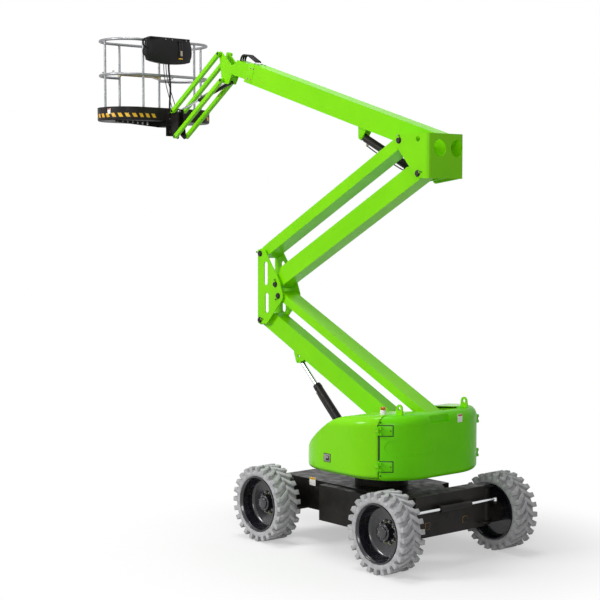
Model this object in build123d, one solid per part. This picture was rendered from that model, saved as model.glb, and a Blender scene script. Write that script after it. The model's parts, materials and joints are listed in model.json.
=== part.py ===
from build123d import *
import os
from math import atan2, cos, degrees, hypot, radians, sin, tan

# Articulating boom lift: a four-wheel chassis, a slewing turret, two stacked
# parallelogram booms that fold over each other, a telescopic main boom beside
# them, a parallelogram jib and a round-cornered cage.
# Millimetres. X runs towards the cage, Y to the left, Z up. The machine is laid
# out about its slew axis at ground level, and moved along X when it is written,
# so that the written model's origin is the middle of its box at ground level.

# ---- running clearances ----
PIN_GAP = 0.3          # radial gap of a pin in its bore, and of a slide in its guide
SEAT_GAP = 0.3         # gap between a seated piece and what carries it
SIDE_GAP = 6.0         # gap beside a moving boom, link or bar

# ---- wheels and axles ----
WHEELBASE = 1980.0
TRACK = 1730.0
TYRE_RADIUS = 427.5
TYRE_WIDTH = 305.0
RIM_RADIUS = 312.0     # where the tyre sits on the rim
RIM_WALL = 12.0
RIM_WELL = 22.0        # how far the rim's barrel lies inside its seat
DISC_INSET = 175.0     # wheel disc, in from the rim's outer edge
DISC_THICK = 14.0
HUB_RADIUS = 92.0
HUB_LENGTH = 95.0
STUB_RADIUS = 35.0     # stub axle that carries the hub
KINGPIN_INSET = 245.0  # kingpin, in from the wheel's middle plane
KINGPIN_RADIUS = 25.0
EAR_RADIUS = 68.0      # ears of the steer axle round the kingpins
STEER_ARM = 160.0      # steering arm, back from the kingpin
SPINDLE_RADIUS = 118.0 # hub motor's flange, inside the wheel
SPINDLE_NECK = 75.0

# ---- chassis ----
CHASSIS_WALL = 8.0
HULL_REAR, HULL_FRONT = -470.0, 380.0
HULL_HALF_WIDTH = 600.0
HULL_BOTTOM, HULL_TOP = 290.0, 690.0
DECK_BOTTOM, DECK_TOP = 600.0, 700.0
DECK_REAR, DECK_FRONT = -785.0, 1125.0
DECK_HALF_WIDTH, DECK_REAR_HALF = 480.0, 236.0
AXLE_HALF_DEPTH = 95.0
AXLE_BOTTOM, AXLE_TOP = 310.0, 755.0
AXLE_WALL = 12.0
EAR_THICK = 32.0
STEER_BEAM_HALF, FIXED_BEAM_HALF = 530.0, 630.0
NECK_HALF_WIDTH = 236.0
REAR_NECK_BOTTOM, FRONT_NECK_BOTTOM = 400.0, 360.0
LOOP_HALF, LOOP_REACH = 42.0, 85.0   # tie-down loops
LOOP_BAR = 8.0
PEDESTAL_RADIUS, BEARING_RADIUS, PEDESTAL_BORE = 300.0, 400.0, 210.0
BEARING_HEIGHT = 45.0

# ---- turret ----
TURRET_REAR, TURRET_FRONT = -990.0, 640.0
TURRET_HALF_WIDTH = 855.0
TURRET_CORNER = 600.0
TURRET_BOTTOM, TURRET_TOP = 905.0, 1600.0
TOP_ROUND, BOTTOM_ROUND = 110.0, 55.0
HOOD_SLOPE, HOOD_DIVE = 5.5, 35.3  # degrees the hood falls, behind and ahead of its knee
HOOD_KNEE, HOOD_RADIUS = (-174.0, 1545.4), 600.0
COVER_WALL = 10.0
COVER_GAP = 8.0        # between a cover and what it closes against
SPLIT_X = -741.0       # where the covers meet the counterweight
SPLIT_GAP = 10.0
BAY_LEFT, BAY_RIGHT = 187.0, -442.0   # outer faces of the boom bay's side walls
BAY_WALL = 12.0
FRAME_DECK = 30.0
SLOT_REAR = -880.0     # the boom bay's rear end, cut into the counterweight
LIFTING_EYE = (-800.0, TURRET_TOP + 62)
LIFTING_EYE_Y = (492.0, -492.0)
EYE_RADIUS, EYE_HOLE = 44.0, 21.0
BEACON = (-650.0, 590.0)
POCKET_LEFT, POCKET_RIGHT = 212.0, -77.0   # open pocket in the counterweight's rear shoulder
POCKET_BOTTOM, POCKET_DEPTH = 1498.0, 40.0
WALL_INSET = 25.0      # the bay's walls stop this far under the hood
PANEL_X = -790.0       # blank recessed panel round the counterweight's left shoulder
PANEL_LOW, PANEL_HIGH = 1180.0, 1350.0
PANEL_DEPTH = 5.0
TOWER_THICK = 15.0
DOOR_OPEN = 75.0
HINGE_PIN = 6.0
HINGE_KNUCKLE = 14.0
HINGE_OFFSET = 15.0    # hinge axis outside the skin
HINGE_HEIGHTS = (1060.0, 1440.0)

# ---- folding booms, their pins at the turret and at the centre knuckle ----
PIN_RADIUS = 25.0
LOWER_PIN = (-445.0, 1233.0)       # stage one boom on the turret
UPPER_OFFSET = (-351.0, 311.0)     # stage one link, from the boom's pin
STAGE_LENGTH = 2738.0
STAGE_ONE_ANGLE = 25.7
STAGE_TWO_ANGLE = 27.9
STAGE_RISE = 35.0                  # how far stage one lifts from the modelled pose
KNUCKLE_TO_TWO = (-296.0, 448.0)   # stage two boom's pin, from stage one's
TWO_LINK_OFFSET = (290.0, 363.0)   # stage two link's pin, from the boom's pin
PLATE_IN, PLATE_OUT = 128.0, 140.0 # knuckle side plates
ONE_BOOM = dict(width=158.0, depth=230.0, wall=8.0, rise=60.0, boss=56.0)
ONE_LINK = dict(width=220.0, depth=100.0, wall=6.0, rise=0.0, boss=50.0)
TWO_BOOM = dict(width=190.0, depth=203.0, wall=8.0, rise=60.0, boss=50.0)
TWO_LINK = dict(width=212.0, depth=134.0, wall=6.0, rise=0.0, boss=60.0)
BOOM_START = 150.0                 # box section starts this far from its pin

# ---- main boom, beside the folding booms ----
BAY_IN, BAY_OUT = -140.0, -407.0   # main boom's bay in the top knuckle
BOOM_Y = (BAY_IN + BAY_OUT + 12.0) / 2
KNUCKLE_BEND = 45.0                # bends of the top knuckle's rear sheet
KNUCKLE_HOLES = (-33.0, -295.0)
MAIN_ANGLE = 17.1
MAIN_TOP_ANGLE = 70.0
MAIN_PIVOT = (-4.0, 368.0)         # from stage two boom's pin at the top knuckle
MAIN_WIDTH, MAIN_DEPTH, MAIN_WALL = 208.0, 250.0, 8.0
MAIN_OFFSET = -65.0                # boom's middle line, across from its pivot
MAIN_LENGTH = 3529.0
MAIN_SLANT = 66.0                  # the tip's top edge is this much shorter
ROOT_ROUND = 60.0                  # round the main boom's pivot and heel
INNER_WIDTH, INNER_DEPTH, INNER_WALL = 160.0, 196.0, 6.0
INNER_START, INNER_END = 550.0, 3775.0
NOSE_REACH, NOSE_DROP = 3874.0, -116.0   # nose pin, along and across the boom
TELESCOPE = 2100.0
PAD_LENGTH = 70.0

# ---- jib ----
NOSE_TO_LOWER = (175.0, -121.0)    # jib's lower pin, from the nose pin
LOWER_TO_UPPER = (53.0, 344.0)     # jib's upper pin, from the lower
JIB_LENGTH = 1235.0
JIB_ANGLE = -33.4
JIB_MIN_ANGLE, JIB_MAX_ANGLE = -65.0, 60.0
BAR_IN, BAR_OUT = 69.0, 114.0
BAR_DEPTH = 52.0
BAR_WALL = 5.0
NOSE_IN, NOSE_OUT = 50.0, 63.0
JIB_PIN = 12.0
ROTATOR_REACH = 60.0               # cage pivot, ahead of the jib's upper pin
HOUSING_RADIUS, CAGE_PIN = 56.0, 24.0

# ---- cage ----
CAGE_DEPTH, CAGE_WIDTH = 800.0, 1660.0
CAGE_CORNER = 370.0
CAGE_Y = -267.5
CAGE_CLEAR = 120.0                 # near face, ahead of the cage pivot
TRAY_BOTTOM, TRAY_TOP = 4960.0, 5140.0
TRAY_WALL = 5.0
TRAY_FLOOR = 8.0
TRAY_EDGE = 24.0
SUPPORT_THICK, SUPPORT_HALF = 10.0, 85.0
RIB_AHEAD, RIB_END = 200.0, 70.0    # perforated rib, ahead of the tray's near side and in from its left end
RIB_HOLES, RIB_DEPTH = 7, 74.0
RAIL_RADIUS, RAIL_WALL = 19.0, 3.0
POST_RADIUS = 16.0
RAIL_INSET = 40.0
MID_RAIL, TOP_RAIL = 5575.0, 6038.0
GATE_HALF = 330.0                  # half width of the entry in the far side
GATE_LIFT = 330.0
CAGE_SWING = 75.0
BOX_DEPTH, BOX_LEFT, BOX_RIGHT = 120.0, 425.0, -325.0   # control box, from the cage's middle
BOX_DROP, BOX_RISE = 313.0, 42.0   # its lower and upper ends, from the top rail

# ---- hoses ----
HOSE_RADIUS = 13.0
NOSE_HOSES = (-34.0, 0.0, 34.0)    # across the main boom's nose
NOSE_HOSE_RADIUS = 12.0

# ---- lift cylinders: base pin, rod pin, sizes ----
STAGE_CYL_BASE = (470.0, 1090.0)
STAGE_CYL_EYE = (1991.0, -144.0)   # along and across stage one's pin line
MAIN_CYL_BASE = (1273.0, -303.0)   # along and across the main boom
MAIN_CYL_EYE = (260.0, -420.0)     # from the main boom's pivot
JIB_CYL_BASE = (80.0, -150.0)      # from the nose pin
# closed is the barrel's share of the pin distance, room the bore left under the rod
STAGE_CYL = dict(barrel=48.0, rod=27.0, closed=0.69, room=350.0)
MAIN_CYL = dict(barrel=46.0, rod=24.0, closed=0.75, room=190.0)
JIB_CYL = dict(barrel=24.0, rod=13.0, closed=0.60, room=180.0)
PIN_SHARE = 0.36                   # a cylinder's pin, as a share of its barrel
STAGE_GAP, MAIN_GAP, JIB_GAP = 30.0, 28.0, 20.0     # half widths of the cylinders' eyes
CYL_SLOT = (70.0, 54.0)            # slot in the deck: behind the stage cylinder's base, half width


def shift(point, by, turn=0.0):
    """Point moved by a vector that is turned up by an angle in degrees."""
    c, s = cos(radians(turn)), sin(radians(turn))
    return (point[0] + by[0] * c - by[1] * s, point[1] + by[0] * s + by[1] * c)


# ---- places that follow from the sizes above, all (x, z) ----
UPPER_PIN = shift(LOWER_PIN, UPPER_OFFSET)
KNUCKLE_LOWER = shift(LOWER_PIN, (STAGE_LENGTH, 0), STAGE_ONE_ANGLE)
KNUCKLE_UPPER = shift(KNUCKLE_LOWER, UPPER_OFFSET)
TWO_PIN = shift(KNUCKLE_LOWER, KNUCKLE_TO_TWO)
TWO_LINK_PIN = shift(TWO_PIN, TWO_LINK_OFFSET)
TOP_PIN = shift(TWO_PIN, (STAGE_LENGTH, 0), 180 - STAGE_TWO_ANGLE)
TOP_LINK_PIN = shift(TOP_PIN, TWO_LINK_OFFSET)
BOOM_PIVOT = shift(TOP_PIN, MAIN_PIVOT)
NOSE_PIN = shift(BOOM_PIVOT, (NOSE_REACH, NOSE_DROP), MAIN_ANGLE)
JIB_LOWER = shift(NOSE_PIN, NOSE_TO_LOWER)
JIB_UPPER = shift(JIB_LOWER, LOWER_TO_UPPER)
CARRIER_LOWER = shift(JIB_LOWER, (JIB_LENGTH, 0), JIB_ANGLE)
CARRIER_UPPER = shift(CARRIER_LOWER, LOWER_TO_UPPER)
CAGE_PIVOT_X = CARRIER_UPPER[0] + ROTATOR_REACH
CAGE_REAR = CAGE_PIVOT_X + CAGE_CLEAR
CAGE_X = CAGE_REAR + CAGE_DEPTH / 2
CAGE_LEFT, CAGE_RIGHT = CAGE_Y + CAGE_WIDTH / 2, CAGE_Y - CAGE_WIDTH / 2
AXLE_X = WHEELBASE / 2
WHEEL_Y = TRACK / 2
KINGPIN_Y = WHEEL_Y - KINGPIN_INSET
MACHINE_REAR = -AXLE_X - TYRE_RADIUS
MACHINE_FRONT = CAGE_REAR + CAGE_DEPTH
MIDDLE_X = (MACHINE_REAR + MACHINE_FRONT) / 2
STAGE_EYE = shift(LOWER_PIN, STAGE_CYL_EYE, STAGE_ONE_ANGLE)
MAIN_BASE = shift(BOOM_PIVOT, MAIN_CYL_BASE, MAIN_ANGLE)
MAIN_EYE = shift(BOOM_PIVOT, MAIN_CYL_EYE)
JIB_BASE = shift(NOSE_PIN, JIB_CYL_BASE)
STEER_ROD_X, STEER_ROD_Z = -AXLE_X - STEER_ARM, 606.0
CARRIER_LOW, CARRIER_HIGH = CARRIER_LOWER[1] + 45, CARRIER_UPPER[1] - 38
SIDES = {"left": 1, "right": -1}


# ---- solids that recur ----
def block(x0, x1, y0, y1, z0, z1):
    """Box between two corners."""
    size = Box(x1 - x0, y1 - y0, z1 - z0)
    return Pos((x0 + x1) / 2, (y0 + y1) / 2, (z0 + z1) / 2) * size


def rod_y(point, radius, y0, y1):
    """Round bar along Y."""
    return Pos(point[0], (y0 + y1) / 2, point[1]) * Rot(90, 0, 0) * Cylinder(radius, abs(y1 - y0))


def rod_z(x, y, radius, z0, z1):
    """Round bar along Z."""
    return Pos(x, y, (z0 + z1) / 2) * Cylinder(radius, z1 - z0)


def plate_y(corners, y0, y1):
    """Plate between two values of Y, its outline drawn tight round (x, z, radius) corners."""
    edges = []
    for x, z, radius in corners:
        edges += (Pos(x, z) * Circle(radius)).edges()
    outline = make_hull(edges)
    low, high = sorted((y0, y1))
    return Pos(0, high, 0) * Rot(90, 0, 0) * extrude(outline, high - low)


def both(solid, y_middle=0.0):
    """The solid with its mirror image across a plane of constant Y."""
    return solid + mirror(solid, about=Plane.XZ.offset(-y_middle))


def along(start, end, y_middle=0.0):
    """Place whose X axis runs from one (x, z) point to another."""
    angle = degrees(atan2(end[1] - start[1], end[0] - start[0]))
    return Pos(start[0], y_middle, start[1]) * Rot(0, -angle, 0)


def folding_boom(start, end, up, width, depth, wall, rise, boss):
    """Hollow box boom with a pin boss at each end; the box lies rise above the pin line."""
    length = hypot(end[0] - start[0], end[1] - start[1])
    low, high = up * rise - depth / 2, up * rise + depth / 2
    corner = 20.0
    ends = [(0, 0, boss), (length, 0, boss)]
    box = [(x, z, corner) for x in (BOOM_START, length - BOOM_START)
           for z in (low + corner, high - corner)]
    body = plate_y(ends + box, -width / 2, width / 2)
    body -= block(BOOM_START + wall, length - BOOM_START - wall,
                  wall - width / 2, width / 2 - wall, low + wall, high - wall)
    reach = PLATE_IN - SIDE_GAP
    for x in (0, length):
        body += rod_y((x, 0), boss, -reach, reach)
    for x in (0, length):
        body -= rod_y((x, 0), PIN_RADIUS + PIN_GAP, -reach - 1, reach + 1)
    return along(start, end) * body


def cylinder_pair(base, eye, y_middle, half_gap, barrel, rod, closed, room):
    """Barrel and rod of a lift cylinder between two pins, as two solids."""
    length = hypot(eye[0] - base[0], eye[1] - base[1])
    barrel_end = length * closed
    pin = PIN_SHARE * barrel
    tube = Pos(barrel_end / 2 + barrel / 2, 0, 0) * Rot(0, 90, 0) * Cylinder(barrel, barrel_end - barrel)
    tube += rod_y((0, 0), barrel * 0.9, -half_gap, half_gap)
    tube += block(0, barrel, -half_gap, half_gap, -barrel * 0.6, barrel * 0.6)
    bore_start = barrel * 1.4
    tube -= Pos((bore_start + barrel_end + 1) / 2, 0, 0) * Rot(0, 90, 0) * Cylinder(
        rod + PIN_GAP, barrel_end + 1 - bore_start)
    tube -= rod_y((0, 0), pin + PIN_GAP, -half_gap - 1, half_gap + 1)
    rod_start = bore_start + room
    stem = Pos((rod_start + length) / 2, 0, 0) * Rot(0, 90, 0) * Cylinder(rod, length - rod_start)
    stem += rod_y((length, 0), rod * 1.2, -half_gap, half_gap)
    stem -= rod_y((length, 0), pin + PIN_GAP, -half_gap - 1, half_gap + 1)
    place = along(base, eye, y_middle)
    return place * tube, place * stem


def across_y(view):
    """Solid of a side view, drawn in X and Z, right across the machine."""
    return Pos(0, 1000, 0) * Rot(90, 0, 0) * extrude(view, 2000)


def hood_front(inset):
    """What the steep rounded front of the hood takes off."""
    slope, dive, radius = radians(HOOD_SLOPE), radians(HOOD_DIVE), HOOD_RADIUS - inset
    middle, half = degrees(slope + dive) / 2, (dive - slope) / 2
    knee = shift(HOOD_KNEE, (0, -inset / cos(half)), -middle)
    start, end = [shift(knee, (way * radius * tan(half), 0), -turn)
                  for way, turn in ((-1, HOOD_SLOPE), (1, HOOD_DIVE))]
    crown = shift(shift(start, (0, -radius), -HOOD_SLOPE), (0, radius), -middle)
    front = TURRET_FRONT + 50
    foot = (front, end[1] - (front - end[0]) * tan(dive))
    with BuildSketch() as view:
        with BuildLine():
            ThreePointArc(start, crown, end)
            Polyline(end, foot, (front, TURRET_TOP + 100), (start[0], TURRET_TOP + 100), start)
        make_face()
    return across_y(view.sketch)


def turret_solid(inset, hood):
    """The turret's whole rounded outer form drawn in all round, flat or with its sloping hood."""
    low, top = TURRET_BOTTOM + inset, TURRET_TOP - inset
    fall = tan(radians(HOOD_SLOPE)) if hood else 0.0
    rear, front = TURRET_REAR - 50, TURRET_FRONT + 50
    above = Polyline((rear, top + (SPLIT_X - rear) * fall), (front, top - (front - SPLIT_X) * fall),
                     (front, TURRET_TOP + 100), (rear, TURRET_TOP + 100), close=True)
    solid = turret_plan(inset, low, TURRET_TOP + 90) - across_y(make_face(above))
    solid = fillet(solid.faces().sort_by(Axis.Z)[-1].edges(), TOP_ROUND - inset)
    solid = fillet(solid.edges().group_by(Axis.Z)[0], BOTTOM_ROUND - inset)
    return solid - hood_front(inset) if hood else solid


def turret_plan(inset, z0, z1):
    """Straight prism of the turret's plan outline."""
    plan = RectangleRounded(TURRET_FRONT - TURRET_REAR - 2 * inset, 2 * (TURRET_HALF_WIDTH - inset),
                            TURRET_CORNER - inset)
    return Pos((TURRET_FRONT + TURRET_REAR) / 2, 0, z0) * extrude(plan, z1 - z0)


def hose(points, bend, radius):
    """Round hose along a path with bends at its inner points."""
    path = FilletPolyline(*points, radius=bend)
    return sweep(Plane(origin=path @ 0, z_dir=path % 0) * Circle(radius), path)


# ---- wheels and axles ----
def tyre(x, y):
    shoulder = 38.0
    with BuildSketch(Plane.XZ) as section:
        with Locations(((RIM_RADIUS + TYRE_RADIUS) / 2 + SEAT_GAP / 2, 0)):
            Rectangle(TYRE_RADIUS - RIM_RADIUS - SEAT_GAP, TYRE_WIDTH)
        outer = section.vertices().group_by(Axis.X)[-1]
        fillet(outer, shoulder)
    ring = revolve(section.sketch, Axis.Z)
    return Pos(x, y, TYRE_RADIUS) * Rot(90, 0, 0) * ring


def rim(x, y, side):
    """Deep-dish rim, its disc set well in from the outer edge, with the hub cap on it."""
    half = TYRE_WIDTH / 2 - 6
    barrel = RIM_RADIUS - RIM_WELL
    flange = 16.0
    solid = Cylinder(barrel, 2 * half) - Cylinder(barrel - RIM_WALL, 2 * half + 2)
    for z in (half - flange / 2, flange / 2 - half):
        solid += Pos(0, 0, z) * (Cylinder(RIM_RADIUS, flange) - Cylinder(barrel - RIM_WALL, flange + 2))
    disc_top = half - DISC_INSET
    solid += Pos(0, 0, disc_top - DISC_THICK / 2) * Cylinder(barrel - RIM_WALL / 2, DISC_THICK)
    solid += Pos(0, 0, disc_top + HUB_LENGTH / 2) * Cylinder(HUB_RADIUS, HUB_LENGTH)
    bore = DISC_THICK + HUB_LENGTH * 0.7
    solid -= Pos(0, 0, disc_top - DISC_THICK + bore / 2 - 1) * Cylinder(STUB_RADIUS + PIN_GAP, bore + 2)
    return Pos(x, y, TYRE_RADIUS) * Rot(-90 * side, 0, 0) * solid


def spindle(x, y_start, side):
    """Hub motor body and stub axle that stick out into a wheel."""
    disc_inner = side * (WHEEL_Y + TYRE_WIDTH / 2 - 6 - DISC_INSET - DISC_THICK)
    centre = (x, TYRE_RADIUS)
    flange_start = KINGPIN_Y + EAR_RADIUS + SIDE_GAP + 1
    motor = rod_y(centre, SPINDLE_NECK, side * y_start, side * flange_start)
    motor += rod_y(centre, SPINDLE_RADIUS, side * flange_start, disc_inner - side * SIDE_GAP)
    stub_end = disc_inner + side * (DISC_THICK + HUB_LENGTH * 0.6)
    return motor + rod_y(centre, STUB_RADIUS, side * y_start, stub_end)


def steering_knuckle(side):
    y = side * KINGPIN_Y
    low, high = AXLE_BOTTOM + 45, AXLE_TOP - 45
    body = rod_z(-AXLE_X, y, 62, low, high)
    body += spindle(-AXLE_X, KINGPIN_Y, side)
    body -= rod_z(-AXLE_X, y, KINGPIN_RADIUS + PIN_GAP, low - 10, high + 10)
    arm_z = 560.0
    arm = block(STEER_ROD_X, -AXLE_X - 55, y - 18, y + 18, arm_z, arm_z + 26)
    return body + arm + rod_z(STEER_ROD_X, y, 26, arm_z, arm_z + 26)


def axle_beam(x, half, top):
    """Hollow box beam across the machine."""
    x0, x1, wall = x - AXLE_HALF_DEPTH, x + AXLE_HALF_DEPTH, AXLE_WALL
    return (block(x0, x1, -half, half, AXLE_BOTTOM, top)
            - block(x0 + wall, x1 - wall, wall - half, half - wall, AXLE_BOTTOM + wall, top - wall))


def steer_axle():
    """Box beam with a forked end at each kingpin."""
    beam = axle_beam(-AXLE_X, STEER_BEAM_HALF, AXLE_TOP)
    for side in (1, -1):
        y = side * KINGPIN_Y
        for low, high in ((AXLE_BOTTOM, AXLE_BOTTOM + EAR_THICK), (AXLE_TOP - EAR_THICK, AXLE_TOP)):
            ear = rod_z(-AXLE_X, y, EAR_RADIUS, low, high)
            ear += block(-AXLE_X - EAR_RADIUS, -AXLE_X + EAR_RADIUS,
                         *sorted((side * (STEER_BEAM_HALF - AXLE_WALL), y)), low, high)
            beam += ear
        beam += rod_z(-AXLE_X, y, KINGPIN_RADIUS, AXLE_BOTTOM, AXLE_TOP)
    return beam


def fixed_axle():
    beam = axle_beam(AXLE_X, FIXED_BEAM_HALF, DECK_BOTTOM - SEAT_GAP)
    for side in (1, -1):
        beam += spindle(AXLE_X, FIXED_BEAM_HALF - 2 * AXLE_WALL, side)
    return beam


def steering_cylinder():
    """Double-ended steering cylinder on two brackets behind the steer axle."""
    half = 230.0
    body = rod_y((STEER_ROD_X, STEER_ROD_Z), 34, -half, half)
    for y in (-half + 50, half - 50):
        body += block(STEER_ROD_X, -AXLE_X - AXLE_HALF_DEPTH, y - 20, y + 20, STEER_ROD_Z - 30, STEER_ROD_Z + 30)
    return body - rod_y((STEER_ROD_X, STEER_ROD_Z), 16 + PIN_GAP, -half - 1, half + 1)


def steering_rod():
    """Rod through the steering cylinder, with an eye over each steering arm."""
    end = KINGPIN_Y - 24
    body = rod_y((STEER_ROD_X, STEER_ROD_Z), 16, -end, end)
    for side in (1, -1):
        body += rod_z(STEER_ROD_X, side * KINGPIN_Y, 26, STEER_ROD_Z - 19, STEER_ROD_Z + 19)
    return body


# ---- chassis ----
def chassis_hull():
    """Welded hull between the wheels, with the deck frame that reaches over both axles."""
    wall = CHASSIS_WALL

    def shell(x0, x1, half, z0, z1, inset):
        return block(x0 + inset, x1 - inset, inset - half, half - inset, z0 + inset, z1 - inset)

    def deck(inset):
        side = [(DECK_REAR, DECK_REAR_HALF), (HULL_REAR, DECK_HALF_WIDTH), (DECK_FRONT, DECK_HALF_WIDTH)]
        outline = make_face(Polyline(*[(x, -y) for x, y in side], *reversed(side), close=True))
        if inset:
            outline = offset(outline, -inset, kind=Kind.INTERSECTION)
        return Pos(0, 0, DECK_BOTTOM + inset) * extrude(outline, DECK_TOP - DECK_BOTTOM - 2 * inset)

    boxes = ((HULL_REAR, HULL_FRONT, HULL_HALF_WIDTH, HULL_BOTTOM, HULL_TOP),
             (-AXLE_X + AXLE_HALF_DEPTH, HULL_REAR + wall, NECK_HALF_WIDTH, REAR_NECK_BOTTOM, DECK_BOTTOM + wall),
             (HULL_FRONT - wall, AXLE_X - AXLE_HALF_DEPTH, DECK_HALF_WIDTH, FRONT_NECK_BOTTOM, DECK_BOTTOM + wall))
    hull = deck(0)
    for box in boxes:
        hull += shell(*box, 0)
    for box in boxes:
        hull -= shell(*box, wall)
    return hull - deck(wall)


def slew_pedestal():
    """Pedestal and slewing bearing between the deck and the turret."""
    top = TURRET_BOTTOM - SEAT_GAP
    ring = rod_z(0, 0, PEDESTAL_RADIUS, DECK_TOP, top) + rod_z(0, 0, BEARING_RADIUS, top - BEARING_HEIGHT, top)
    return ring - rod_z(0, 0, PEDESTAL_BORE, DECK_TOP - 1, top + 1)


def tie_down_loops():
    """Bent-bar lashing loops, two at each end of the chassis."""
    loops = []
    start, z = AXLE_X + AXLE_HALF_DEPTH + SEAT_GAP, AXLE_BOTTOM + 60
    for out in (-1, 1):
        for y in (STEER_BEAM_HALF - 60, 60 - STEER_BEAM_HALF):
            points = [(out * x, y + across, z) for x, across in (
                (start, -LOOP_HALF), (start + LOOP_REACH, -LOOP_HALF), (start + LOOP_REACH, LOOP_HALF),
                (start, LOOP_HALF))]
            loops.append(hose(points, LOOP_HALF - 1, LOOP_BAR))
    return Compound(children=loops)


# ---- turret ----
def turret_frame():
    """Turntable deck with the boom bay's two walls and the tower plates that hold the pins."""
    z0, deck_top = TURRET_BOTTOM, TURRET_BOTTOM + FRAME_DECK
    frame = turret_solid(0, True) & block(SPLIT_X, TURRET_FRONT, -2000, 2000, z0, deck_top)
    frame = frame & turret_plan(COVER_WALL + COVER_GAP + BOTTOM_ROUND, z0 - 5, deck_top + 5)
    under_hood = turret_solid(WALL_INSET, True)
    for y0, y1 in ((BAY_LEFT - BAY_WALL, BAY_LEFT), (BAY_RIGHT, BAY_RIGHT + BAY_WALL)):
        frame += block(SPLIT_X, TURRET_FRONT, y0, y1, z0 + WALL_INSET, TURRET_TOP) & under_hood
    slot_back, slot_half = CYL_SLOT
    frame -= block(STAGE_CYL_BASE[0] - slot_back, TURRET_FRONT, -slot_half, slot_half, z0 - 1, deck_top + 1)
    foot = deck_top + 4
    tower = plate_y([(*UPPER_PIN, 50), (*LOWER_PIN, 58), (LOWER_PIN[0] + 120, foot, 5),
                     (SPLIT_X + 10, foot, 5)], PLATE_IN, PLATE_IN + TOWER_THICK)
    frame += both(tower)
    for pin in (LOWER_PIN, UPPER_PIN):
        frame += rod_y(pin, PIN_RADIUS, -PLATE_IN - 5, PLATE_IN + 5)
    clevis = plate_y([(*STAGE_CYL_BASE, 40), (STAGE_CYL_BASE[0] - 90, foot, 5),
                      (STAGE_CYL_BASE[0] + 90, foot, 5)], 58, 74)
    clevis += rod_y(STAGE_CYL_BASE, PIN_SHARE * STAGE_CYL["barrel"], STAGE_GAP + SIDE_GAP, 70)
    return frame + both(clevis)


def hinge_axis(side):
    """(x, y) of a cover's hinge, just outside the skin at the split."""
    centre_x, centre_y = TURRET_REAR + TURRET_CORNER, TURRET_HALF_WIDTH - TURRET_CORNER
    dx = SPLIT_X - centre_x
    reach = TURRET_CORNER + HINGE_OFFSET
    angle = atan2((TURRET_CORNER ** 2 - dx ** 2) ** 0.5, dx)
    return centre_x + reach * cos(angle), side * (centre_y + reach * sin(angle))


def hinge_leaf(side, z0, z1, back):
    """Knuckle on the hinge axis with the leg that joins it to the counterweight behind or the cover ahead."""
    x, y = hinge_axis(side)
    if back:
        leg = block(x - 34, x, *sorted((y - side * 4, y - side * 36)), z0, z1)
    else:
        leg = block(x, x + 34, *sorted((y - side * 2, y + side * 12)), z0, z1)
    return leg + rod_z(x, y, HINGE_KNUCKLE, z0, z1)


def counterweight():
    """Cast counterweight behind the split, slotted for the booms, with a blank panel sunk in its left shoulder."""
    form, end = turret_solid(0, False), SPLIT_X - SPLIT_GAP / 2
    rear = form & block(TURRET_REAR, end, -1000, 1000, 0, 2000)
    inner_left, inner_right = BAY_LEFT - BAY_WALL, BAY_RIGHT + BAY_WALL
    rear -= block(SLOT_REAR, 0, inner_right, inner_left, TURRET_BOTTOM + FRAME_DECK, 2000)
    rear += block(end - 1, SPLIT_X, BAY_RIGHT, BAY_LEFT, TURRET_BOTTOM, TURRET_BOTTOM + FRAME_DECK)
    half = (PANEL_HIGH - PANEL_LOW) / 2
    centre = (PANEL_X - half, (PANEL_HIGH + PANEL_LOW) / 2)
    panel = block(TURRET_REAR - 1, centre[0], inner_left + 30, 1000, PANEL_LOW, PANEL_HIGH)
    panel += rod_y(centre, half, inner_left + 30, 1000)
    rear -= (form - turret_solid(PANEL_DEPTH, False)) & panel
    rear -= block(TURRET_REAR - 1, TURRET_REAR + POCKET_DEPTH, POCKET_RIGHT, POCKET_LEFT, POCKET_BOTTOM, 2000)
    for side in (1, -1):
        x, y = hinge_axis(side)
        for z in HINGE_HEIGHTS:
            rear += hinge_leaf(side, z - 45, z - 16, True) + hinge_leaf(side, z + 16, z + 45, True)
            rear += rod_z(x, y, HINGE_PIN, z - 40, z + 40)
    return rear


def cover(side):
    """Hinged side cover: a shell open at the bottom and along the boom bay."""
    if side > 0:
        y0, y1 = BAY_LEFT + COVER_GAP, TURRET_HALF_WIDTH
    else:
        y0, y1 = -TURRET_HALF_WIDTH, BAY_RIGHT - COVER_GAP
    x0 = SPLIT_X + SPLIT_GAP / 2
    shell = turret_solid(0, True) - turret_solid(COVER_WALL, True)
    shell -= turret_plan(COVER_WALL, TURRET_BOTTOM - 1, TURRET_BOTTOM + BOTTOM_ROUND + 5)
    shell = shell & block(x0, TURRET_FRONT, y0, y1, 0, 2000)
    x, y = hinge_axis(side)
    for z in HINGE_HEIGHTS:
        shell += hinge_leaf(side, z - 15.5, z + 15.5, False)
        shell -= rod_z(x, y, HINGE_PIN + PIN_GAP, z - 20, z + 20)
    return shell


def lifting_eyes():
    """Plate eyes bolted on top of the counterweight's front shoulders."""
    eyes = []
    x, z = LIFTING_EYE
    for y in LIFTING_EYE_Y:
        eye = plate_y([(x, z, EYE_RADIUS), (x - 44, TURRET_TOP + 6, 6), (x + 44, TURRET_TOP + 6, 6)], y - 8, y + 8)
        eyes.append(eye - rod_y((x, z), EYE_HOLE, y - 9, y + 9))
    return Compound(children=eyes)


def beacon():
    """Lamp on the left cover: a round base cut to the hood's slope, and the lens's stem and dome in one."""
    x, y = BEACON
    base = rod_z(x, y, 34, TURRET_TOP - 20, TURRET_TOP + 40) - turret_solid(0, True)
    return base + rod_z(x, y, 29, TURRET_TOP + 40, TURRET_TOP + 76)


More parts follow.
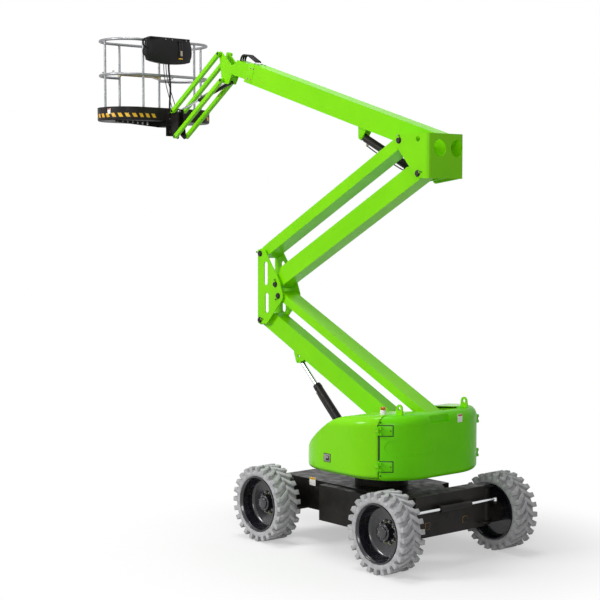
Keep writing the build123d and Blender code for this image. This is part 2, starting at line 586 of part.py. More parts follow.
# ---- knuckles ----
def centre_knuckle():
    """Two side plates with slots, joined by their four pins and a spacer."""
    front = KNUCKLE_LOWER[0] + 41
    top, bottom = TWO_LINK_PIN[1] + 49, KNUCKLE_LOWER[1] - 39
    edge, shoulder = 16.0, 85.0
    corners = [(front - edge, top - edge, edge), (front - edge, bottom + edge, edge),
               (TWO_LINK_PIN[0] - 74, top - edge, edge), (KNUCKLE_LOWER[0] - 118, bottom + edge, edge),
               (*KNUCKLE_UPPER, shoulder), (*TWO_PIN, shoulder)]
    plate = plate_y(corners, PLATE_IN, PLATE_OUT)
    slot_x, slot_radius = TWO_PIN[0] + 181, 34.0
    for x, low, high in ((slot_x, TWO_PIN[1] - 18, TWO_PIN[1] + 268),
                         (slot_x - 18, KNUCKLE_LOWER[1] + 95, KNUCKLE_LOWER[1] + 338)):
        ends = [(x, low + slot_radius, slot_radius), (x, high - slot_radius, slot_radius)]
        plate -= plate_y(ends, PLATE_IN - 1, PLATE_OUT + 1)
    solid = both(plate)
    for pin in (KNUCKLE_LOWER, KNUCKLE_UPPER, TWO_PIN, TWO_LINK_PIN):
        solid += rod_y(pin, PIN_RADIUS, -PLATE_OUT - 8, PLATE_OUT + 8)
    return solid + rod_y(shift(TWO_PIN, (125, 30)), 20, -PLATE_OUT, PLATE_OUT)


def knuckle_sheet(rear, inset, end):
    """Face of the top knuckle's rear sheet in plan, bent forward at both ends."""
    x, y0, y1, bend = rear + inset, BAY_OUT + inset, PLATE_OUT - inset, KNUCKLE_BEND - inset
    diagonal = bend * (1 - 0.5 ** 0.5)
    with BuildSketch() as plan:
        with BuildLine():
            ThreePointArc((x + bend, y1), (x + diagonal, y1 - diagonal), (x, y1 - bend))
            ThreePointArc((x, y0 + bend), (x + diagonal, y0 + diagonal), (x + bend, y0))
            Polyline((x, y1 - bend), (x, y0 + bend))
            Polyline((x + bend, y0), (end, y0), (end, y1), (x + bend, y1))
        make_face()
    return plan.sketch


def top_knuckle():
    """Bent rear sheet with three side plates; the folding booms meet one bay, the main boom the other."""
    top, bottom = TOP_LINK_PIN[1] + 63, TOP_PIN[1] - 54
    rear = TOP_PIN[0] - 162
    thick, edge = 12.0, 14.0
    end = rear + KNUCKLE_BEND + 15
    sheet = extrude(knuckle_sheet(rear, 0, end), top - bottom)
    sheet = Pos(0, 0, bottom) * (sheet - extrude(knuckle_sheet(rear, thick, end + 1), top - bottom))
    for y in KNUCKLE_HOLES:
        sheet -= Pos(rear + 80, y, TOP_LINK_PIN[1] - 92) * Rot(0, 90, 0) * Cylinder(93, 200)

    def rear_corners(x):
        return [(x + edge, top - edge, edge), (x + edge, bottom + edge, edge)]

    front_corner = (TOP_LINK_PIN[0] + 40, top - edge, edge)
    link_side = [front_corner, (TOP_LINK_PIN[0] + 10, TOP_LINK_PIN[1], 62), (*TOP_PIN, 46)]
    cylinder_side = [front_corner, (*MAIN_EYE, 48)]
    near_plate = plate_y(link_side + rear_corners(end - 9), PLATE_IN, PLATE_OUT)
    near_plate -= rod_y(BOOM_PIVOT, 30, PLATE_IN - 1, PLATE_OUT + 1)
    solid = sheet + near_plate
    solid += plate_y(link_side + cylinder_side + rear_corners(rear + thick / 2), BAY_IN, BAY_IN + thick)
    solid += plate_y(cylinder_side + rear_corners(end - 9), BAY_OUT, BAY_OUT + thick)
    for pin in (TOP_PIN, TOP_LINK_PIN):
        solid += rod_y(pin, PIN_RADIUS, BAY_IN + 4, PLATE_OUT + 8)
    solid += rod_y(BOOM_PIVOT, PIN_RADIUS, BAY_OUT - 8, BAY_IN + 8)
    stub, clear = PIN_SHARE * MAIN_CYL["barrel"], MAIN_GAP + SIDE_GAP
    return (solid + rod_y(MAIN_EYE, stub, BAY_OUT - 6, BOOM_Y - clear)
            + rod_y(MAIN_EYE, stub, BOOM_Y + clear, BAY_IN + 8))


def stage_lug():
    """Pair of holed triangular plates under stage one boom, with the lift cylinder's pin."""
    corners = [(*STAGE_EYE, 32)]
    corners += [(*shift(STAGE_EYE, (x, 94), STAGE_ONE_ANGLE), 8) for x in (-110, 130)]
    hole = shift(STAGE_EYE, (8, 62), STAGE_ONE_ANGLE)
    plates = both(plate_y(corners, 36, 52) - rod_y(hole, 19, 35, 53))
    return plates + rod_y(STAGE_EYE, PIN_SHARE * STAGE_CYL["barrel"], -62, 62)


# ---- main boom ----
def boom_place():
    """Place on the main boom's middle line, beside its pivot."""
    return Pos(BOOM_PIVOT[0], BOOM_Y, BOOM_PIVOT[1]) * Rot(0, -MAIN_ANGLE, 0) * Pos(0, 0, MAIN_OFFSET)


def main_boom():
    """Outer section: rounded root on its pivot, hollow box, slanted tip that guides the inner boom."""
    half_w, half_d, wall = MAIN_WIDTH / 2, MAIN_DEPTH / 2, MAIN_WALL
    pivot = (0, -MAIN_OFFSET)
    body = plate_y([(*pivot, ROOT_ROUND), (90, ROOT_ROUND - half_d, ROOT_ROUND),
                    (MAIN_LENGTH - 2, half_d - 2, 2), (MAIN_LENGTH - 2, 2 - half_d, 2)], -half_w, half_w)
    body -= block(240, MAIN_LENGTH - PAD_LENGTH - MAIN_SLANT, wall - half_w, half_w - wall, wall - half_d, half_d - wall)
    open_w, open_d = INNER_WIDTH / 2 + PIN_GAP, INNER_DEPTH / 2 + PIN_GAP
    body -= block(MAIN_LENGTH - 400, MAIN_LENGTH + 1, -open_w, open_w, -open_d, open_d)
    wedge = Polyline((MAIN_LENGTH - MAIN_SLANT, half_d + 1), (MAIN_LENGTH + 1, half_d + 1),
                     (MAIN_LENGTH + 1, -half_d - 1), close=True)
    body -= across_y(make_face(wedge))
    reach = half_w + 11
    body += rod_y(pivot, 45, -reach, reach)
    body -= rod_y(pivot, PIN_RADIUS + PIN_GAP, -reach - 1, reach + 1)
    eye = (MAIN_CYL_BASE[0], MAIN_CYL_BASE[1] - MAIN_OFFSET)
    lug = both(plate_y([(*eye, 34), (eye[0] - 70, 3 - half_d, 3), (eye[0] + 70, 3 - half_d, 3)], 34, 50))
    lug += rod_y(eye, PIN_SHARE * MAIN_CYL["barrel"], -58, 58)
    return boom_place() * (body + lug)


def inner_boom():
    """Sliding section: guide block at its root, hollow box, fork at its nose."""
    half_w, half_d, wall = INNER_WIDTH / 2, INNER_DEPTH / 2, INNER_WALL
    body = block(INNER_START, INNER_END, -half_w, half_w, -half_d, half_d)
    pad_w, pad_d = MAIN_WIDTH / 2 - MAIN_WALL - PIN_GAP, MAIN_DEPTH / 2 - MAIN_WALL - PIN_GAP
    body += block(INNER_START, INNER_START + PAD_LENGTH, -pad_w, pad_w, -pad_d, pad_d)
    body -= block(INNER_START + wall, INNER_END - wall, wall - half_w, half_w - wall, wall - half_d, half_d - wall)
    pin = (NOSE_REACH, NOSE_DROP - MAIN_OFFSET)
    ear = plate_y([(*pin, 38), (INNER_END - 5, half_d - 30, 5), (INNER_END - 5, 5 - half_d, 5)],
                  NOSE_OUT + SIDE_GAP, half_w)
    return boom_place() * (body + both(ear) + rod_y(pin, 20, -half_w, half_w))


def nose():
    """Levelled fork at the main boom's tip, which carries the jib's bars."""
    corners = [(*NOSE_PIN, 42), (*JIB_LOWER, 30), (*JIB_UPPER, 30), (*JIB_BASE, 24)]
    cheek = plate_y(corners, NOSE_IN, NOSE_OUT)
    for pin in (JIB_LOWER, JIB_UPPER):
        cheek += rod_y(pin, JIB_PIN, NOSE_IN, BAR_OUT + 6) + rod_y(pin, 20, NOSE_IN, NOSE_OUT + 4)
    solid = both(cheek) + rod_y(JIB_BASE, PIN_SHARE * JIB_CYL["barrel"], -NOSE_OUT, NOSE_OUT)
    solid += rod_y(NOSE_PIN, 32, -NOSE_OUT, NOSE_OUT)
    solid -= rod_y(NOSE_PIN, 20 + PIN_GAP, -NOSE_OUT - 1, NOSE_OUT + 1)
    return Pos(0, BOOM_Y, 0) * solid


def nose_hoses():
    """Hoses that leave the inner boom's top and bow back over the tip of the outer boom."""
    top = INNER_DEPTH / 2 + SEAT_GAP
    hoses = []
    for y in NOSE_HOSES:
        points = [(INNER_END - 25, y, top), (INNER_END - 25, y, top + 75), (INNER_END - 160, y, top + 95),
                  (MAIN_LENGTH - 95, y, top + 52)]
        hoses.append(boom_place() * hose(points, 60, NOSE_HOSE_RADIUS))
    return Compound(children=hoses)


# ---- jib ----
def jib_bars(start, end):
    """A pair of bars side by side, pinned outside the nose and the carrier."""
    bars = []
    for side in (1, -1):
        y0, y1 = sorted((side * BAR_IN, side * BAR_OUT))
        bar = plate_y([(*start, BAR_DEPTH / 2), (*end, BAR_DEPTH / 2)], y0, y1)
        hollow = block(45, JIB_LENGTH - 45, y0 + BAR_WALL, y1 - BAR_WALL,
                       BAR_WALL - BAR_DEPTH / 2, BAR_DEPTH / 2 - BAR_WALL)
        bar -= along(start, end) * hollow
        for pin in (start, end):
            bar -= rod_y(pin, JIB_PIN + PIN_GAP, y0 - 1, y1 + 1)
        bars.append(Pos(0, BOOM_Y, 0) * bar)
    return Compound(children=bars)


def carrier():
    """Levelled bracket at the jib's outer end with the cage's vertical pivot housing."""
    corners = [(*CARRIER_LOWER, 30), (*CARRIER_UPPER, 30), (CAGE_PIVOT_X, CARRIER_LOW + 20, 20),
               (CAGE_PIVOT_X, CARRIER_HIGH - 20, 20)]
    cheek = plate_y(corners, NOSE_IN, NOSE_OUT)
    for pin in (CARRIER_LOWER, CARRIER_UPPER):
        cheek += rod_y(pin, JIB_PIN, NOSE_IN, BAR_OUT + 6) + rod_y(pin, 20, NOSE_IN, NOSE_OUT + 4)
    # the cheeks are notched where the cage's arms swing over and under them
    for z0, z1 in ((CARRIER_LOWER[1] - 40, CARRIER_LOW + 5), (CARRIER_HIGH - 5, CARRIER_UPPER[1] + 40)):
        cheek -= block(CAGE_PIVOT_X - 27, CAGE_PIVOT_X + 40, NOSE_IN - 1, NOSE_OUT + 1, z0, z1)
    solid = both(cheek) + rod_z(CAGE_PIVOT_X, 0, HOUSING_RADIUS, CARRIER_LOW, CARRIER_HIGH)
    solid -= rod_z(CAGE_PIVOT_X, 0, CAGE_PIN + PIN_GAP, CARRIER_LOW - 1, CARRIER_HIGH + 1)
    return Pos(0, BOOM_Y, 0) * solid


# ---- cage ----
def cage_plan(inset, z0, z1):
    plan = RectangleRounded(CAGE_DEPTH - 2 * inset, CAGE_WIDTH - 2 * inset, CAGE_CORNER - inset)
    return Pos(CAGE_X, CAGE_Y, z0) * extrude(plan, z1 - z0)


def cage_support():
    """Arms that hold the cage on its pivot, with a perforated rib under the tray's near edge."""
    low, foot = CARRIER_LOW - 18 - SEAT_GAP, CARRIER_LOW - 30
    right, left = BOOM_Y - SUPPORT_HALF, BOOM_Y + SUPPORT_HALF
    solid = block(CAGE_REAR - SUPPORT_THICK, CAGE_REAR, right, left, foot, TRAY_TOP - 20)
    for z in (low, CARRIER_HIGH + SEAT_GAP):
        solid += rod_z(CAGE_PIVOT_X, BOOM_Y, HOUSING_RADIUS - SIDE_GAP, z, z + 18)
        solid += block(CAGE_PIVOT_X, CAGE_REAR - 5, BOOM_Y - 30, BOOM_Y + 30, z, z + 18)
    solid += rod_z(CAGE_PIVOT_X, BOOM_Y, CAGE_PIN, CARRIER_LOW - 10, CARRIER_HIGH + 10)
    rib_x, rib_end = CAGE_REAR + RIB_AHEAD, CAGE_LEFT - RIB_END
    shelf = TRAY_BOTTOM - RIB_DEPTH
    solid += block(CAGE_REAR - SUPPORT_THICK, rib_x + 10, right, left, shelf, shelf + 12)
    solid += block(rib_x, rib_x + 10, right, left, shelf, TRAY_BOTTOM)
    with BuildSketch() as outline:
        with BuildLine():
            Polyline((left - 30, TRAY_BOTTOM), (rib_end, TRAY_BOTTOM), (rib_end, TRAY_BOTTOM - 24),
                     (left - 30, shelf), close=True)
        make_face()
        for i in range(RIB_HOLES):
            share = 0.82 * (i + 0.5) / RIB_HOLES
            with Locations((rib_end + (left - rib_end) * share, TRAY_BOTTOM - 13 - 21 * share)):
                Circle(7 + 15 * share, mode=Mode.SUBTRACT)
    return solid + Plane.YZ.offset(rib_x) * extrude(outline.sketch, 10)


def cage_tray():
    """Floor tray with rounded corners and upstanding sides."""
    solid = cage_plan(0, TRAY_BOTTOM, TRAY_TOP)
    solid = fillet(solid.edges().group_by(Axis.Z)[0], TRAY_EDGE)
    inside = cage_plan(TRAY_WALL, TRAY_BOTTOM + TRAY_FLOOR, TRAY_TOP + 1)
    return solid - fillet(inside.edges().group_by(Axis.Z)[0], TRAY_EDGE - TRAY_WALL)


def rail_loop(z, radius):
    """Tube round the cage's plan, on the posts' line."""
    inset = RAIL_INSET
    path = Pos(CAGE_X, CAGE_Y, z) * RectangleRounded(CAGE_DEPTH - 2 * inset, CAGE_WIDTH - 2 * inset,
                                                     CAGE_CORNER - inset)
    path = path.wire()
    start = path @ 0
    section = Plane(origin=start, z_dir=path % 0) * Circle(radius)
    return sweep(section, path)


# posts of the cage: which side, place along that side from its middle
POSTS = [("near", -420.0), ("near", 420.0), ("left", 0.0), ("right", 0.0),
         ("far", -GATE_HALF), ("far", GATE_HALF)]


def post_place(side, offset):
    """(x, y) of a post's centre."""
    if side in ("near", "far"):
        x = CAGE_REAR + RAIL_INSET if side == "near" else MACHINE_FRONT - RAIL_INSET
        return x, CAGE_Y + offset
    y = CAGE_LEFT - RAIL_INSET if side == "left" else CAGE_RIGHT + RAIL_INSET
    return CAGE_X + offset, y


def cage_rails():
    """Top and middle rails on posts that stand on the tray's floor; the middle rail is cut at the entry."""
    floor = TRAY_BOTTOM + TRAY_FLOOR
    gap = block(MACHINE_FRONT - 2 * RAIL_INSET, MACHINE_FRONT, CAGE_Y - GATE_HALF, CAGE_Y + GATE_HALF,
                MID_RAIL - 50, MID_RAIL + 50)
    outer = rail_loop(TOP_RAIL, RAIL_RADIUS) + (rail_loop(MID_RAIL, RAIL_RADIUS) - gap)
    inner = rail_loop(TOP_RAIL, RAIL_RADIUS - RAIL_WALL)
    for post in POSTS:
        place = post_place(*post)
        outer += rod_z(*place, POST_RADIUS, floor, TOP_RAIL)
        inner += rod_z(*place, POST_RADIUS - RAIL_WALL, floor + 5, TOP_RAIL)
    return outer - inner


def entry_bar():
    """Bar that slides up its two posts to open the entry; the sleeve on each post rests just above the middle rail."""
    x = MACHINE_FRONT - RAIL_INSET
    z = MID_RAIL + RAIL_RADIUS + 34
    bar = rod_y((x, z), 17, CAGE_Y - GATE_HALF, CAGE_Y + GATE_HALF)
    for y in (CAGE_Y - GATE_HALF, CAGE_Y + GATE_HALF):
        bar += rod_z(x, y, POST_RADIUS + 9, z - 28, z + 28)
    for y in (CAGE_Y - GATE_HALF, CAGE_Y + GATE_HALF):
        bar -= rod_z(x, y, POST_RADIUS + PIN_GAP, z - 30, z + 30)
    return bar


def control_box():
    """Control box hung outside the near top rail."""
    x1 = CAGE_REAR + RAIL_INSET - RAIL_RADIUS - SEAT_GAP
    box = block(x1 - BOX_DEPTH, x1, CAGE_Y + BOX_RIGHT, CAGE_Y + BOX_LEFT, TOP_RAIL - BOX_DROP, TOP_RAIL + BOX_RISE)
    return fillet(box.edges().filter_by(Axis.Z), 30)


def cage_hose():
    """Hose that hangs in a long bow from the control box to the top of the cage's support."""
    x, y, top = CAGE_REAR - 40, BOOM_Y + 60, TOP_RAIL - BOX_DROP - SEAT_GAP
    end_x, end_y, end = CAGE_REAR - HOSE_RADIUS - SEAT_GAP, BOOM_Y + 30, TRAY_TOP - 20 + SEAT_GAP
    points = [(x, y, top), (x, y, top - 80), (x - 45, y, (top + end) / 2), (end_x, end_y, end + 80),
              (end_x, end_y, end)]
    return hose(points, 450, HOSE_RADIUS)


# ---- heavy plain blocks under the covers ----
def engine_block():
    return block(-600, 20, BAY_LEFT + 50, 640, TURRET_BOTTOM + FRAME_DECK, 1370)


def tank_block():
    return block(-560, 30, -690, BAY_RIGHT - 30, TURRET_BOTTOM + FRAME_DECK, 1350)


def build():
    """Every named piece of the machine, in machine coordinates."""
    pieces = {
        "chassis_hull": chassis_hull(),
        "fixed_axle": fixed_axle(),
        "steer_axle": steer_axle(),
        "steering_cylinder": steering_cylinder(),
        "steering_rod": steering_rod(),
        "slew_pedestal": slew_pedestal(),
        "tie_down_loops": tie_down_loops(),
    }
    for name, side in SIDES.items():
        pieces[f"{name}_steering_knuckle"] = steering_knuckle(side)
        for axle, x in (("steer", -AXLE_X), ("fixed", AXLE_X)):
            pieces[f"{name}_{axle}_tyre"] = tyre(x, side * WHEEL_Y)
            pieces[f"{name}_{axle}_rim"] = rim(x, side * WHEEL_Y, side)
        pieces[f"{name}_cover"] = cover(side)
    pieces["turret_frame"] = turret_frame()
    pieces["counterweight"] = counterweight()
    pieces["engine_block"] = engine_block()
    pieces["tank_block"] = tank_block()
    pieces["lifting_eyes"] = lifting_eyes()
    pieces["beacon"] = beacon()
    pieces["stage_one_boom"] = folding_boom(LOWER_PIN, KNUCKLE_LOWER, 1, **ONE_BOOM) + stage_lug()
    pieces["stage_one_link"] = folding_boom(UPPER_PIN, KNUCKLE_UPPER, 1, **ONE_LINK)
    pieces["centre_knuckle"] = centre_knuckle()
    pieces["stage_two_boom"] = folding_boom(TWO_PIN, TOP_PIN, -1, **TWO_BOOM)
    pieces["stage_two_link"] = folding_boom(TWO_LINK_PIN, TOP_LINK_PIN, -1, **TWO_LINK)
    pieces["top_knuckle"] = top_knuckle()
    pieces["main_boom"] = main_boom()
    pieces["inner_boom"] = inner_boom()
    pieces["nose"] = nose()
    pieces["nose_hoses"] = nose_hoses()
    pieces["jib_lower_bars"] = jib_bars(JIB_LOWER, CARRIER_LOWER)
    pieces["jib_upper_bars"] = jib_bars(JIB_UPPER, CARRIER_UPPER)
    pieces["carrier"] = carrier()
    for name, base, eye, y, half_gap, size in (
            ("stage_cylinder", STAGE_CYL_BASE, STAGE_EYE, 0.0, STAGE_GAP, STAGE_CYL),
            ("boom_cylinder", MAIN_BASE, MAIN_EYE, BOOM_Y, MAIN_GAP, MAIN_CYL),
            ("jib_cylinder", JIB_BASE, CARRIER_UPPER, BOOM_Y, JIB_GAP, JIB_CYL)):
        barrel, rod = cylinder_pair(base, eye, y, half_gap, **size)
        pieces[f"{name}_barrel"], pieces[f"{name}_rod"] = barrel, rod
    pieces["cage_support"] = cage_support()
    pieces["cage_tray"] = cage_tray()
    pieces["cage_rails"] = cage_rails()
    pieces["entry_bar"] = entry_bar()
    pieces["control_box"] = control_box()
    pieces["cage_hose"] = cage_hose()
    return pieces


if __name__ == "__main__":
    os.makedirs("parts", exist_ok=True)
    for node, solid in build().items():
        export_step(Pos(-MIDDLE_X, 0, 0) * solid, f"parts/{node}.step")
        print(node)
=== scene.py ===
"""Looks of an articulating boom lift: finishes for the CAD pieces, and the small parts that they don't hold.

Lengths are in metres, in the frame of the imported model: +X along the booms towards the cage, +Y to the left,
+Z up.
"""
import json
from math import atan2, cos, pi, radians, sin
import bmesh
import bpy
from mathutils import Matrix, Vector


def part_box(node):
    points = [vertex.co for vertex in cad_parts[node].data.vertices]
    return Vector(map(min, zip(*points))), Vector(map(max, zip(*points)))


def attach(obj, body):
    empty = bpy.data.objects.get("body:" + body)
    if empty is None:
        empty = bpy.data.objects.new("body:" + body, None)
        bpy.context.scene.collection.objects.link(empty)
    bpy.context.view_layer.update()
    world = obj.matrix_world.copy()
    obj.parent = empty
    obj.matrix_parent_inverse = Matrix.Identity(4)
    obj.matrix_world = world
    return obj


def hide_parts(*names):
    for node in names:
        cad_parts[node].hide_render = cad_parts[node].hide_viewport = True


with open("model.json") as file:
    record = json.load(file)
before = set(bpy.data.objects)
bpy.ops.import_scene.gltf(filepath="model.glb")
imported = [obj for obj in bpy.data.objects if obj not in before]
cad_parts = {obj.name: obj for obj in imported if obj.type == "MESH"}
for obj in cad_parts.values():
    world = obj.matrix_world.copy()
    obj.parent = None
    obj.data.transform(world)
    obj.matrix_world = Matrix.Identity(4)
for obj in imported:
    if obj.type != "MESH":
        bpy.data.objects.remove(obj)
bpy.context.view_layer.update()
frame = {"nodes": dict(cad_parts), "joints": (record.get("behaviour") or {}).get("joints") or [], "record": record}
NODES = frame["nodes"]
PINS = {joint["name"]: Vector(joint["pos_m"]) for joint in frame["joints"] if joint.get("pos_m")}
SIDES = {"left": 1, "right": -1}
SLEW_X = PINS["slew"].x      # the slew axis stands over the middle of the chassis
BOOM_Y = (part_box("nose")[0].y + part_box("nose")[1].y) / 2


# ---- finishes ----
def linear(colour):
    """Linear RGBA of an sRGB hex colour."""
    channels = [int(colour[i:i + 2], 16) / 255 for i in (1, 3, 5)]
    return [c / 12.92 if c <= 0.04045 else ((c + 0.055) / 1.055) ** 2.4 for c in channels] + [1.0]


def add_node(tree, kind, inputs=None, **settings):
    """A node with its settings, and its inputs as values or links."""
    node = tree.nodes.new(kind)
    for name, value in settings.items():
        setattr(node, name, value)
    for socket, value in (inputs or {}).items():
        if isinstance(value, bpy.types.NodeSocket):
            tree.links.new(value, node.inputs[socket])
        else:
            node.inputs[socket].default_value = value
    return node


def start_material(name, colour, roughness, metallic=0.0, **constants):
    """A material with its own Principled shader, whose constants are set on its sockets."""
    material = bpy.data.materials.new(name)
    material.use_nodes = True
    tree = material.node_tree
    shader = tree.nodes["Principled BSDF"]
    values = {"Base Color": linear(colour), "Roughness": roughness, "Metallic": metallic} | constants
    for socket, value in values.items():
        shader.inputs[socket].default_value = value
    material.diffuse_color = linear(colour)
    return material, tree, shader


def noise(tree, size_mm, detail=2.0, roughness=0.5):
    """Noise factor on Object coordinates, its lumps about size_mm across."""
    place = add_node(tree, "ShaderNodeTexCoord").outputs["Object"]
    grain = add_node(tree, "ShaderNodeTexNoise", {"Vector": place, "Scale": 1000.0 / size_mm,
                                                  "Detail": detail, "Roughness": roughness})
    return grain.outputs["Fac"]


def mottle(tree, shader, factor, *stops):
    """Base colour that wanders through (position, hex colour) stops."""
    node = add_node(tree, "ShaderNodeValToRGB", {"Fac": factor})
    bar = node.color_ramp.elements
    for extra in stops[2:]:
        bar.new(extra[0])
    for element, (position, colour) in zip(bar, stops):
        element.position = position
        element.color = linear(colour)
    tree.links.new(node.outputs["Color"], shader.inputs["Base Color"])


def wear(tree, shader, factor, low, high):
    """Roughness that wanders between two values."""
    node = add_node(tree, "ShaderNodeMapRange", {"Value": factor, "From Min": 0.3, "From Max": 0.7,
                                                 "To Min": low, "To Max": high})
    tree.links.new(node.outputs["Result"], shader.inputs["Roughness"])


def raise_bump(tree, shader, height, depth_mm, strength=1.0):
    """Relief of a depth, from a height factor."""
    bump = add_node(tree, "ShaderNodeBump", {"Height": height, "Strength": strength,
                                             "Distance": depth_mm / 1000.0})
    tree.links.new(bump.outputs["Normal"], shader.inputs["Normal"])
    return bump


def lime_enamel():
    """Two-pack polyurethane enamel sprayed on welded steel: hard gloss over a slight orange peel."""
    material, tree, shader = start_material("lime_enamel", "#80dc04", 0.36, **{"Specular IOR Level": 0.10,
                                            "Coat Weight": 0.06, "Coat Roughness": 0.10})
    mottle(tree, shader, noise(tree, 620, 3), (0.3, "#7cd804"), (0.7, "#85e006"))
    wear(tree, shader, noise(tree, 180, 4), 0.26, 0.40)
    # orange peel is 2 to 3 mm across, drawn at 6 mm so that it shows
    raise_bump(tree, shader, noise(tree, 6, 1), 0.10)
    return material


def lime_gelcoat():
    """Gelcoat of a glass-fibre moulding: deeper gloss than sprayed steel, with long soft waviness."""
    material, tree, shader = start_material("lime_gelcoat", "#7edb03", 0.28, **{"Specular IOR Level": 0.12,
                                            "Coat Weight": 0.10, "Coat Roughness": 0.06})
    mottle(tree, shader, noise(tree, 900, 2), (0.3, "#79d603"), (0.7, "#84df04"))
    wear(tree, shader, noise(tree, 140, 4), 0.18, 0.30)
    bump = raise_bump(tree, shader, noise(tree, 90, 1), 0.6, 0.35)
    # laid-up mouldings have no sharp edges: the shading turns over this radius
    edge = add_node(tree, "ShaderNodeBevel", {"Radius": 0.035}, samples=8)
    tree.links.new(edge.outputs["Normal"], bump.inputs["Normal"])
    return material


def lime_cast_shade_tinted():
    """The same enamel over a cast-iron counterweight: the sand-cast skin shows as shallow pitting. Its colour is
    less red than the enamel's, which is painted shade: the greener hue of the counterweight's shaded faces.
    """
    # base and mottle colours have less red than lime_enamel's: painted shade, the hue of the counterweight's
    # shaded faces
    material, tree, shader = start_material("lime_cast_shade_tinted", "#6bd804", 0.36, **{"Specular IOR Level": 0.10,
                                            "Coat Weight": 0.06, "Coat Roughness": 0.15})
    mottle(tree, shader, noise(tree, 500, 3), (0.3, "#65d204"), (0.7, "#70de05"))
    wear(tree, shader, noise(tree, 60, 5), 0.30, 0.46)
    raise_bump(tree, shader, noise(tree, 14, 5, 0.6), 0.5, 0.6)
    return material


def chassis_paint():
    """Semi-gloss black enamel on fabricated steel, greyed by a film of yard dust."""
    material, tree, shader = start_material("chassis_paint", "#1a1817", 0.38, **{"Specular IOR Level": 0.16})
    mottle(tree, shader, noise(tree, 260, 5, 0.6), (0.35, "#141312"), (0.72, "#2b2724"))
    wear(tree, shader, noise(tree, 90, 5), 0.28, 0.55)
    raise_bump(tree, shader, noise(tree, 7, 2), 0.12)
    return material


def tyre_rubber():
    """Light grey non-marking rubber, moulded: chalky, with scuffs and a fine mould texture."""
    material, tree, shader = start_material("tyre_rubber", "#b6b6b8", 0.82, **{"Specular IOR Level": 0.20})
    mottle(tree, shader, noise(tree, 55, 8, 0.65), (0.25, "#9a999a"), (0.5, "#b8b8ba"), (0.8, "#cbcbce"))
    wear(tree, shader, noise(tree, 30, 4), 0.70, 0.90)
    raise_bump(tree, shader, noise(tree, 5, 6, 0.7), 0.8, 0.7)
    return material


def rim_gloss():
    """Powder coat on pressed steel rims, near black with a navy cast, high gloss."""
    material, tree, shader = start_material("rim_gloss", "#0e0e16", 0.22, **{"Coat Weight": 0.6,
                                            "Coat Roughness": 0.08})
    mottle(tree, shader, noise(tree, 120, 4), (0.3, "#0b0b12"), (0.75, "#15151f"))
    wear(tree, shader, noise(tree, 45, 4), 0.16, 0.34)
    raise_bump(tree, shader, noise(tree, 5, 1), 0.06)
    return material


def galvanised_tube():
    """Hot-dip galvanised steel tube, brushed clean: blotched grey zinc with faint drawing lines."""
    material, tree, shader = start_material("galvanised_tube", "#8d8e90", 0.42, 0.85)
    mottle(tree, shader, noise(tree, 24, 6, 0.6), (0.3, "#7c7d80"), (0.75, "#a5a6a8"))
    wear(tree, shader, noise(tree, 12, 4), 0.34, 0.55)
    raise_bump(tree, shader, noise(tree, 8, 4), 0.10)
    return material


def chromed_rod():
    """Hard chrome on a ground rod: mirror bright with fine grinding rings."""
    material, tree, shader = start_material("chromed_rod", "#d4d6d8", 0.10, 1.0)
    wear(tree, shader, noise(tree, 20, 3), 0.07, 0.16)
    raise_bump(tree, shader, noise(tree, 3, 2), 0.02)
    return material


def tray_paint():
    """Black textured powder coat on the cage's aluminium tray."""
    material, tree, shader = start_material("tray_paint", "#1c1a1a", 0.45, **{"Specular IOR Level": 0.16})
    mottle(tree, shader, noise(tree, 180, 4), (0.3, "#151313"), (0.75, "#272323"))
    wear(tree, shader, noise(tree, 70, 4), 0.36, 0.58)
    raise_bump(tree, shader, noise(tree, 4, 3), 0.15)
    return material


def black_plastic():
    """Moulded black polyethylene with a leather-like spark texture."""
    material, tree, shader = start_material("black_plastic", "#0d0d0d", 0.46, **{"Specular IOR Level": 0.22})
    mottle(tree, shader, noise(tree, 150, 3), (0.3, "#0a0a0a"), (0.8, "#161515"))
    place = add_node(tree, "ShaderNodeTexCoord").outputs["Object"]
    # spark grain, 4 mm across
    grain = add_node(tree, "ShaderNodeTexVoronoi", {"Vector": place, "Scale": 250.0})
    raise_bump(tree, shader, grain.outputs["Distance"], 0.15, 0.5)
    return material


def hose_rubber():
    """Wire-braid hydraulic hose cover: matt black rubber with a wrapped-cloth imprint."""
    material, tree, shader = start_material("hose_rubber", "#121212", 0.60, **{"Specular IOR Level": 0.25})
    mottle(tree, shader, noise(tree, 60, 4), (0.3, "#0d0d0d"), (0.8, "#1e1e1e"))
    raise_bump(tree, shader, noise(tree, 3, 2), 0.15)
    return material


def hazard_yellow():
    """Yellow reflective tape stuck on the tray's side, slightly mottled by its glass beads."""
    material, tree, shader = start_material("hazard_yellow", "#e8b21c", 0.42)
    mottle(tree, shader, noise(tree, 30, 4), (0.3, "#dca413"), (0.75, "#f0bf2e"))
    raise_bump(tree, shader, noise(tree, 2.5, 1), 0.05)
    return material


def nut_marker():
    """Fluorescent lime polyethylene of the wheel-nut pointers."""
    material, tree, shader = start_material("nut_marker", "#d4ef2b", 0.45, **{"Subsurface Weight": 0.1})
    shader.inputs["Subsurface Radius"].default_value = (0.004, 0.004, 0.001)
    mottle(tree, shader, noise(tree, 15, 3), (0.3, "#cbe722"), (0.8, "#dcf53f"))
    return material


def zinc_plate():
    """Bright zinc-plated fasteners with a slight rainbow dullness."""
    material, tree, shader = start_material("zinc_plate", "#9a9a96", 0.34, 1.0)
    mottle(tree, shader, noise(tree, 9, 4), (0.3, "#868683"), (0.8, "#b2b1a8"))
    raise_bump(tree, shader, noise(tree, 3, 3), 0.05)
    return material


def pin_steel():
    """Oiled dark steel of the pivot pins and their keepers."""
    material, tree, shader = start_material("pin_steel", "#2c2b2a", 0.40, 0.7)
    mottle(tree, shader, noise(tree, 18, 4), (0.3, "#201f1e"), (0.8, "#3d3b39"))
    raise_bump(tree, shader, noise(tree, 4, 3), 0.08)
    return material


